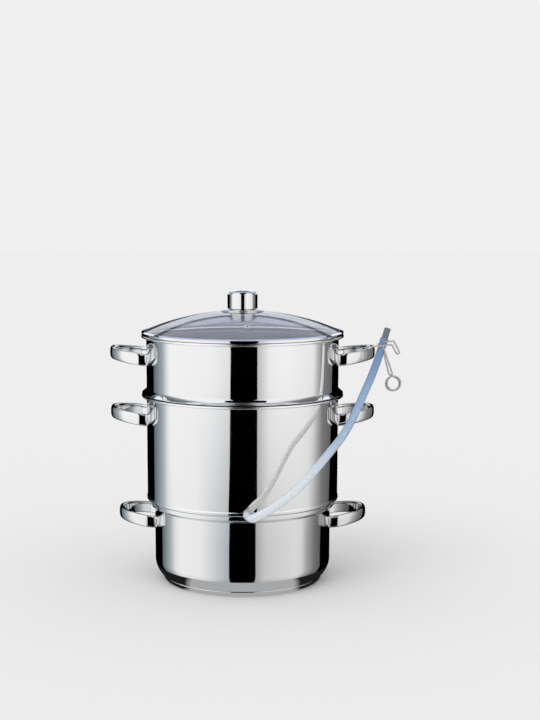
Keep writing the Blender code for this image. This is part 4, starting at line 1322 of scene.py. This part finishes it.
def handle_stations(handles, wall, foot_rise):
    """Middle line of half a handle, with its normal, half thickness and half height at each point.

    In plan the strap is half an ellipse, draws in a little at its end, and turns sharply onto the wall.
    """
    half, tall = handles.thickness / 2, handles.height / 2
    middle = wall - HANDLE_CENTRE_INSET
    across, wide = wall + handles.reach - half - middle, handles.half_width - half
    stations = []
    drawn = math.atan(math.tan(HANDLE_DRAW_START) * wide / across)
    for share in shares(24):
        angle = drawn * share
        out, aside = in_plan(-angle)
        normal = Vector((out / across, aside / wide)).normalized()
        stations.append([Vector((middle + across * out, wide * aside)), normal, half, tall])
    bend = stations[-1][0] - stations[-1][1] * HANDLE_DRAW_BEND
    for share in shares(5)[1:]:
        turn = -HANDLE_DRAW_START - HANDLE_DRAW_TURN * share
        normal = in_plan(turn)
        stations.append([bend + normal * HANDLE_DRAW_BEND, normal, half, tall])
    point = stations[-1][0]
    onward = in_plan(turn - math.pi / 2)
    ring = wall + CLEARANCE + HANDLE_RIDGE
    offset = point + normal * handles.root_bend
    along = offset.dot(onward)
    run = -along - math.sqrt(along ** 2 - offset.length_squared + (ring + handles.root_bend) ** 2)
    root = offset + onward * run
    for share in shares(4)[1:-1]:
        stations.append([point + onward * run * share, normal, half, tall])
    begin = turn + math.pi
    sweep = (math.atan2(-root.y, -root.x) - begin) % math.tau
    if sweep >= math.pi:
        sweep -= math.tau
    for share in shares(12):
        outward = in_plan(begin + sweep * share)
        thick = half + (HANDLE_RIDGE - half) * share
        stations.append([root + outward * handles.root_bend, -outward, thick, tall])
    start = math.atan2(root.y, root.x)
    thin = handles.foot_thickness / 2
    for share in shares(12)[1:]:
        angle = start - handles.foot_length * share / ring
        thick = HANDLE_RIDGE + (thin - HANDLE_RIDGE) * share ** 2
        low = tall + (handles.foot_height / 2 - tall) * share
        stations.append([in_plan(angle) * (wall + CLEARANCE + thick), in_plan(angle), thick, low])
    for quarter in shares(5)[1:]:
        share, rise = math.sin(math.pi / 2 * quarter), math.cos(math.pi / 2 * quarter)
        tip = angle - 2 * HANDLE_TIP_LENGTH * share / ring
        low = (HANDLE_TIP_HEIGHT + (handles.foot_height - HANDLE_TIP_HEIGHT) * rise) / 2
        thick = thin * (HANDLE_TIP_SHARE + (1 - HANDLE_TIP_SHARE) * rise)
        stations.append([in_plan(tip) * (wall + CLEARANCE + thick), in_plan(tip), thick, low])
    return with_rise(stations, handles, root.x, foot_rise)


def with_rise(stations, handles, root_reach, foot_rise):
    """Adds each station's height: the loop climbs outwards from its roots, and so do the feet."""
    outer = stations[0][0].x
    past = 0.0
    before = None
    for station in stations:
        point = station[0]
        if point.x > root_reach and not past:
            share = (point.x - root_reach) / (outer - root_reach)
            station.append(handles.root_fall + (handles.tip_rise - handles.root_fall) * share)
        else:
            past += (point - before).length
            share = min(past / (handles.foot_length + 2 * HANDLE_TIP_LENGTH), 1)
            station.append(handles.root_fall + (foot_rise - handles.root_fall) * share ** FOOT_CLIMB)
        before = point
    return stations


def strap_section(thin, tall):
    """Outline of the strap's section, outward and up: a bulged outer face and a flatter inner one."""
    outline = []
    for step in range(STRAP_SIDES):
        angle = math.tau * (step + 0.5) / STRAP_SIDES
        out, up = math.cos(angle), math.sin(angle)
        power = 2 / (STRAP_BULGE if out > 0 else STRAP_FLAT)
        outline.append((
            math.copysign(thin * abs(out) ** power, out), math.copysign(tall * abs(up) ** power, up),
        ))
    return outline


def make_handle(name, handles, wall, top, foot_rise, turn):
    """One strap handle, lofted through its stations on both sides of its middle."""
    work = bmesh.new()
    stations = handle_stations(handles, wall, foot_rise)
    mirrored = [
        (Vector((point.x, -point.y)), Vector((normal.x, -normal.y)), *rest)
        for point, normal, *rest in reversed(stations[1:])
    ]
    middle = top - handles.drop_to_middle
    rings = []
    for point, normal, thin, tall, rise in mirrored + stations:
        spots = [(*(point + normal * out), up + middle + rise) for out, up in strap_section(thin, tall)]
        rings.append([work.verts.new(spot) for spot in spots])
    join_rings(work, rings)
    work.faces.new(rings[0])
    work.faces.new(list(reversed(rings[-1])))
    bmesh.ops.rotate(work, verts=work.verts, cent=(0, 0, 0), matrix=Matrix.Rotation(turn, 3, "Z"))
    return closed(from_work(name, work, "polished_steel"))


class JUICER_OT_handles(Operator):
    """Makes the six strap handles"""

    bl_idname = "juicer.handles"
    bl_label = "Handles"

    def execute(self, context):
        vessels = context.scene.juicer_vessels
        handles = context.scene.juicer_handles
        kettle, basket, _lid = tiers(context.scene)
        rise = handles.foot_rise
        rows = (
            ("pan", vessels.pan_radius, vessels.pan_height - handles.pan_drop, rise - handles.pan_foot_fall),
            ("kettle", vessels.kettle_radius, kettle + vessels.kettle_height - handles.kettle_drop, rise),
            ("basket", vessels.basket_radius, basket + vessels.basket_height - handles.basket_drop, rise),
        )
        for tier, radius, top, foot_rise in rows:
            for side, turn in (("right", 0.0), ("left", math.pi)):
                name = f"{tier}_grip_{side}"
                item = make_handle(name, handles, radius + vessels.sheet, top, foot_rise, turn)
                seated(item, tier, "polished_steel", f"{tier}_handle_{side}")
        return {"FINISHED"}


class Dome:
    """The lid's glass as a part of a sphere, in the frame of the model."""

    def __init__(self, scene):
        vessels, lid = scene.juicer_vessels, scene.juicer_lid
        self.half = lid.glass / 2
        self.rim = vessels.basket_radius + vessels.sheet + vessels.lip_reach - lid.edge_inset
        self.radius = (self.rim ** 2 + lid.crown ** 2) / (2 * lid.crown)
        self.edge_angle = math.asin(self.rim / self.radius)
        self.seat = tiers(scene)[2]
        self.edge = self.seat + BAND_SHEET + CLEARANCE + self.half * math.cos(self.edge_angle)
        self.centre = self.edge + lid.crown - self.radius

    def height(self, radius, offset=0.0):
        """Height of the glass's middle surface, or of a surface beside it, at a distance from the axis."""
        return self.centre + math.sqrt((self.radius + offset) ** 2 - radius ** 2)


class JUICER_OT_lid(Operator):
    """Makes the lid's glass, its steel band and the steam vent"""

    bl_idname = "juicer.lid"
    bl_label = "Lid"

    def execute(self, context):
        vessels = context.scene.juicer_vessels
        lid = context.scene.juicer_lid
        steps = vessels.turning_steps
        dome = Dome(context.scene)
        bore = SCREW_RADIUS + 2 * SCREW_FIT
        reaches = [bore + (dome.rim - bore) * share for share in shares(48)]
        line = [(reach, dome.height(reach)) for reach in reaches]
        glass = pressed("glass_dome", line, lid.glass, steps, "clear_glass")
        seated(glass, "lid", "clear_glass", "lid_glass")

        beside = dome.half + CLEARANCE + BAND_SHEET / 2
        slope = Vector((math.sin(dome.edge_angle), math.cos(dome.edge_angle)))
        radius = dome.rim + dome.half * slope.x + CLEARANCE + BAND_SHEET / 2
        across = dome.radius + beside
        line = []
        for share in shares(8):
            angle = math.asin((dome.rim - lid.band_fold * (1 - share)) / dome.radius)
            line.append((across * math.sin(angle), dome.centre + across * math.cos(angle)))
        past = radius - dome.rim - beside * slope.x
        brow = dome.edge + beside * slope.y - past * slope.x / slope.y
        seat = dome.seat + BAND_SHEET / 2
        skirt = vessels.basket_radius - LID_FIT - BAND_SHEET / 2
        line[-1] = (line[-1][0] - CLEARANCE, line[-1][1] + CLEARANCE * slope.x)
        line += [(radius - CLEARANCE / 2, brow - CLEARANCE / 3), (radius, brow - CLEARANCE * 2)]
        line += arc((radius - BAND_BEND / 2, seat + BAND_BEND / 2), BAND_BEND / 2, 0, -90)
        line += arc((skirt + PRESS_BEND, seat - PRESS_BEND), PRESS_BEND, 90, 180)
        line.append((skirt, seat - LID_SKIRT_DEPTH))
        band = pressed("lid_rim", line, BAND_SHEET, steps, "polished_steel")
        seated(band, "lid", "polished_steel", "lid_band")

        distance = dome.rim - lid.vent_inset
        spot = in_plan(VENT_TURN) * distance
        outward = Vector((*spot, dome.height(distance) - dome.centre)).normalized()
        inner = dome.half + GLASS_CLEARANCE / 2
        barrel = lid.vent_radius * VENT_BARREL_SHARE
        outline = [(lid.vent_bore, inner + VENT_RISE)]
        outline += arc((lid.vent_radius - VENT_BEND, inner), VENT_BEND, 80, 0, 5)
        outline += [(barrel, inner), (barrel, -inner)]
        outline += arc((lid.vent_radius - VENT_BEND, -inner), VENT_BEND, 0, -80, 5)
        outline += [(lid.vent_bore, -inner - VENT_RISE)]
        vent = turned("steam_vent", outline, SMALL_STEPS, "polished_steel", loop=True)
        laid(vent, Vector((0, 0, dome.centre)) + outward * dome.radius, outward)
        seated(vent, "lid", "polished_steel", "vent_eyelet")
        return {"FINISHED"}


class JUICER_OT_knob(Operator):
    """Makes the knob, its dish and its fastening"""

    bl_idname = "juicer.knob"
    bl_label = "Knob"

    def execute(self, context):
        lid = context.scene.juicer_lid
        dome = Dome(context.scene)
        foot = dome.height(lid.dish_radius, dome.half) + GLASS_CLEARANCE
        rise = lid.dish_rise - DISH_SHEET / 2
        slope = lid.dish_radius - DISH_SHEET / 2 - lid.dish_flat
        bore = SCREW_RADIUS + SCREW_FIT
        line = [(bore, foot + rise)]
        for share in shares(12):
            angle = math.pi / 2 * share
            line.append((lid.dish_flat + slope * math.sin(angle), foot + rise * math.cos(angle)))
        dish = pressed("dish", line, DISH_SHEET, KNOB_STEPS, "polished_steel")
        seated(dish, "lid", "polished_steel", "knob_dish")

        base = foot + lid.dish_rise + CLEARANCE
        top = base + lid.knob_height
        brow = top - lid.knob_crown - lid.knob_bend
        ceiling = base + KNOB_ROOM
        crown = lid.knob_radius - lid.knob_bend
        outline = [(0, top)]
        for share in shares(12)[1:-1]:
            outline.append((crown * share, top - lid.knob_crown * KNOB_CROWN_SHARE * share ** 2))
        outline += arc((crown, brow + lid.knob_crown * (1 - KNOB_CROWN_SHARE)), lid.knob_bend, 84, 0, 12)
        outline += [(lid.knob_radius, brow - KNOB_SHOULDER), (lid.knob_foot, base + KNOB_WAIST)]
        outline += arc((lid.knob_foot - KNOB_FOOT_BEND, base + KNOB_FOOT_BEND), KNOB_FOOT_BEND, 0, -90, 6)
        outline += [(bore, base), (bore, ceiling), (0, ceiling)]
        knob = turned("knob", outline, KNOB_STEPS, "polished_steel")
        seated(knob, "lid", "polished_steel", "lid_knob")

        under = dome.height(GASKET[0], -dome.half) - GLASS_CLEARANCE
        rings = (("gasket", GASKET, "dark_rubber"), ("washer", WASHER, "satin_steel"))
        for name, (radius, height, chamfer), finish in rings:
            outline = chamfered(bore, radius, under, height, chamfer)
            ring = turned(name, outline, SMALL_STEPS, finish, loop=True)
            seated(ring, "lid", finish, f"knob_{name}")
            under -= height + CLEARANCE

        tip = ceiling - CLEARANCE
        outline = [(0, tip), (SCREW_RADIUS, tip), (SCREW_RADIUS, under)]
        for share in shares(6):
            angle = math.pi / 2 * share
            outline.append((SCREW_HEAD * math.cos(angle), under - SCREW_DOME * math.sin(angle)))
        screw = turned("screw", outline, SMALL_STEPS, "satin_steel")
        seated(screw, "lid", "satin_steel", "knob_screw")
        return {"FINISHED"}


def hose_route(scene):
    """Points of the hose's middle line in the frame of the model."""
    seat = Vector((0, 0, tiers(scene)[0]))
    return [Vector(point) + seat for point in HOSE_ROUTE]


def make_hose(scene):
    """A soft tube along its route, wider over the stub and the nozzle, open through its bore."""
    outlet = scene.juicer_outlet
    line = through(hose_route(scene), HOSE_STEP)
    lengths = lengths_along(line)
    total = lengths[-1]
    work = bmesh.new()
    outer_rings, inner_rings = [], []
    side = Vector((0, 0, 1))
    for index, point in enumerate(line):
        before, after = line[max(index - 1, 0)], line[min(index + 1, len(line) - 1)]
        along = (after - before).normalized()
        side = (side - along * side.dot(along)).normalized()
        other = along.cross(side)
        run = lengths[index]
        over_stub = STUB_SWELL * math.exp(-(run / STUB_SWELL_RUN) ** 2)
        over_nozzle = 1 / (1 + math.exp((total - run - outlet.nozzle_grip) / NOZZLE_SWELL_RUN))
        outer = outlet.hose_radius + over_stub + over_nozzle * NOZZLE_SWELL[0] - HOSE_TAPER * run / total
        bore = outlet.hose_bore + over_stub + over_nozzle * NOZZLE_SWELL[1]
        for radius, rings in ((outer, outer_rings), (bore, inner_rings)):
            angles = [math.tau * share for share in shares(HOSE_SIDES)[:-1]]
            rings.append([
                work.verts.new(point + (side * math.cos(angle) + other * math.sin(angle)) * radius)
                for angle in angles
            ])
    layer = work.loops.layers.uv.new("along_hose")
    spots = ((0, 0), (1, 0), (1, 1), (0, 1))
    for rings, inwards in ((outer_rings, False), (inner_rings, True)):
        for face, step, turn in join_rings(work, rings, inwards):
            for loop, (over, on) in zip(face.loops, spots[::-1] if inwards else spots):
                loop[layer].uv = ((turn + over) / HOSE_SIDES, lengths[step + on] / total)
    for end, far_end in ((0, False), (-1, True)):
        outer_ring, inner_ring = outer_rings[end], inner_rings[end]
        for turn in range(HOSE_SIDES):
            after = (turn + 1) % HOSE_SIDES
            corners = (outer_ring[turn], inner_ring[turn], inner_ring[after], outer_ring[after])
            work.faces.new(corners[::-1] if far_end else corners)
    bmesh.ops.recalc_face_normals(work, faces=work.faces)
    hose = shaded(from_work("outlet_hose", work, "silicone"), HOSE_SHARP_ANGLE)
    return hose, line, total


class JUICER_OT_hose(Operator):
    """Makes the outlet hose, its nozzle and the wire clamp that holds it up"""

    bl_idname = "juicer.hose"
    bl_label = "Hose and Clamp"

    def execute(self, context):
        outlet = context.scene.juicer_outlet
        hose, line, length = make_hose(context.scene)
        seated(hose, "kettle", "silicone", "hose")

        grip, reach = outlet.nozzle_grip, outlet.nozzle_reach
        wide, bore = outlet.nozzle_radius, outlet.nozzle_bore
        outline = [(bore, reach), (bore + NOZZLE_MOUTH, reach + NOZZLE_DRAFT)]
        outline += arc((wide - NOZZLE_BEND, reach - NOZZLE_BEND), NOZZLE_BEND, 80, 0, 8)
        outline += [(wide - NOZZLE_DRAFT, reach * NOZZLE_DRAFT_SHARE), (wide, NOZZLE_STOP)]
        outline += [(wide, -grip + NOZZLE_CHAMFER), (wide - NOZZLE_CHAMFER, -grip), (bore, -grip)]
        nozzle = turned("nozzle", outline, SMALL_STEPS, "grey_plastic", loop=True)
        laid(nozzle, line[-1], (line[-1] - line[-2]).normalized())
        seated(nozzle, "kettle", "grey_plastic", "hose_nozzle")

        rear, front = make_clamp(context.scene)
        seated(rear, "kettle", "wire_steel", "clamp_rear_wire")
        seated(front, "clamp_jaw", "wire_steel", "clamp_front_wire")
        return {"FINISHED"}


def wire_piece(name, points, radius, bend):
    """A bent wire through points."""
    mesh = bpy.data.meshes.new(name + "_line")
    mesh.from_pydata(points, [(index, index + 1) for index in range(len(points) - 1)], [])
    item = finish_tree_object(
        name, mesh, trees["wire"], wire_radius=radius, bend_radius=bend, material=finishes["wire_steel"]
    )
    return closed(item)


def face_on(angle):
    """The direction at an angle in the upright plane that the picture shows."""
    return Vector((math.cos(angle), 0, math.sin(angle)))


def make_clamp(scene):
    """The wire clamp in two pieces, split at the front end of its coil."""
    outlet = scene.juicer_outlet
    wire = outlet.wire_radius
    crossing = hose_route(scene)[CLAMPED_POINT]
    across, right = face_on(ARM_TILT), face_on(JAW_TILT)
    down = face_on(ARM_TILT - math.pi / 2)
    coil = crossing + down * (outlet.arm_length + outlet.coil_radius)
    pitch = 2 * wire + outlet.coil_gap
    turns = []
    for share in shares(COIL_STEPS):
        angle = COIL_START - math.tau * COIL_TURNS * share
        skew = Vector((COIL_SKEW[0], 1, COIL_SKEW[1])) * pitch * COIL_TURNS * (0.5 - share)
        turns.append(coil + face_on(angle) * outlet.coil_radius + skew)
    stand_off = Vector((0, outlet.hose_radius + wire + GRIP_GAP, 0))

    neck = crossing + down * (outlet.arm_length - NECK_RISE)
    rear_foot = neck - across * NECK_HALF
    rear_foot.y = turns[0].y
    rear_top = crossing + stand_off - down * REAR_JAW_RISE
    rear_line = [rear_top - right * REAR_JAW, rear_top, rear_foot, *turns]
    rear = wire_piece("clamp_rear", rear_line, wire, REAR_BEND)

    end = turns[-1]
    onward = (end - turns[-2]).normalized()
    front_foot = neck + across * NECK_HALF
    front_foot.y = end.y
    front_top = crossing - stand_off
    arm = [end + onward * CLEARANCE, end + onward * HEEL_LENGTH, front_foot, front_top]
    arm_piece = wire_piece("clamp_arm", arm, wire, ARM_BEND)

    corner = front_top + right * FRONT_CORNER
    fall, beside, above = face_on(-TAB_TURN), face_on(math.pi / 2 - TAB_TURN), face_on(JAW_TILT + math.pi / 2)
    bar = [front_top - right * FRONT_JAW, front_top, corner]
    for share in shares(8):
        out, over = math.sin(math.pi * share), 1 - math.cos(math.pi * share)
        bar.append(corner + fall * (TAB_LENGTH + TAB_WIDTH / 2 * out) + beside * TAB_WIDTH / 2 * over)
    upper = corner + (above + beside) * (TAB_WIDTH / (1 + above.dot(beside)))
    bar += [upper, upper - right * TAB_LENGTH]
    front = wire_piece("clamp_bar", bar, wire, JAW_BEND)
    work = bmesh.new()
    work.from_mesh(arm_piece.data)
    work.from_mesh(front.data)
    work.to_mesh(front.data)
    work.free()
    bpy.data.objects.remove(arm_piece, do_unlink=True)
    front.name = "clamp_front"
    return rear, shaded(front)


class JUICER_PT_panel(Panel):
    """Lists the juicer's pieces and their sizes"""

    bl_idname = "JUICER_PT_panel"
    bl_label = "Steam Juicer"
    bl_space_type = "VIEW_3D"
    bl_region_type = "UI"
    bl_category = "Steam Juicer"

    def draw(self, context):
        for operator in OPERATORS:
            self.layout.operator(operator.bl_idname)
        for name, group in SETTINGS.items():
            box = self.layout.box()
            for label in group.__annotations__:
                box.prop(getattr(context.scene, name), label)


SETTINGS = {
    "juicer_vessels": JuicerVessels,
    "juicer_holes": JuicerHoles,
    "juicer_handles": JuicerHandles,
    "juicer_lid": JuicerLid,
    "juicer_outlet": JuicerOutlet,
    "juicer_tones": JuicerTones,
}
OPERATORS = (
    JUICER_OT_studio, JUICER_OT_hose, JUICER_OT_pan, JUICER_OT_kettle, JUICER_OT_basket,
    JUICER_OT_handles, JUICER_OT_lid, JUICER_OT_knob,
)


def register():
    """Makes the settings, the operators and the panel known."""
    for item in (*SETTINGS.values(), *OPERATORS, JUICER_PT_panel):
        bpy.utils.register_class(item)
    for name, group in SETTINGS.items():
        setattr(bpy.types.Scene, name, PointerProperty(type=group))


def unregister():
    """Takes them away again."""
    for name in SETTINGS:
        delattr(bpy.types.Scene, name)
    for item in reversed((*SETTINGS.values(), *OPERATORS, JUICER_PT_panel)):
        bpy.utils.unregister_class(item)


def main():
    """Builds the scene through its operators."""
    register()
    trees.update(turned=turned_piece_tree(), wire=bent_wire_tree(), holes=steam_holes_tree())
    make_materials(bpy.context.scene.juicer_tones)
    for operator in OPERATORS:
        group, name = operator.bl_idname.split(".")
        getattr(getattr(bpy.ops, group), name)()


if __name__ == "__main__":
    main()
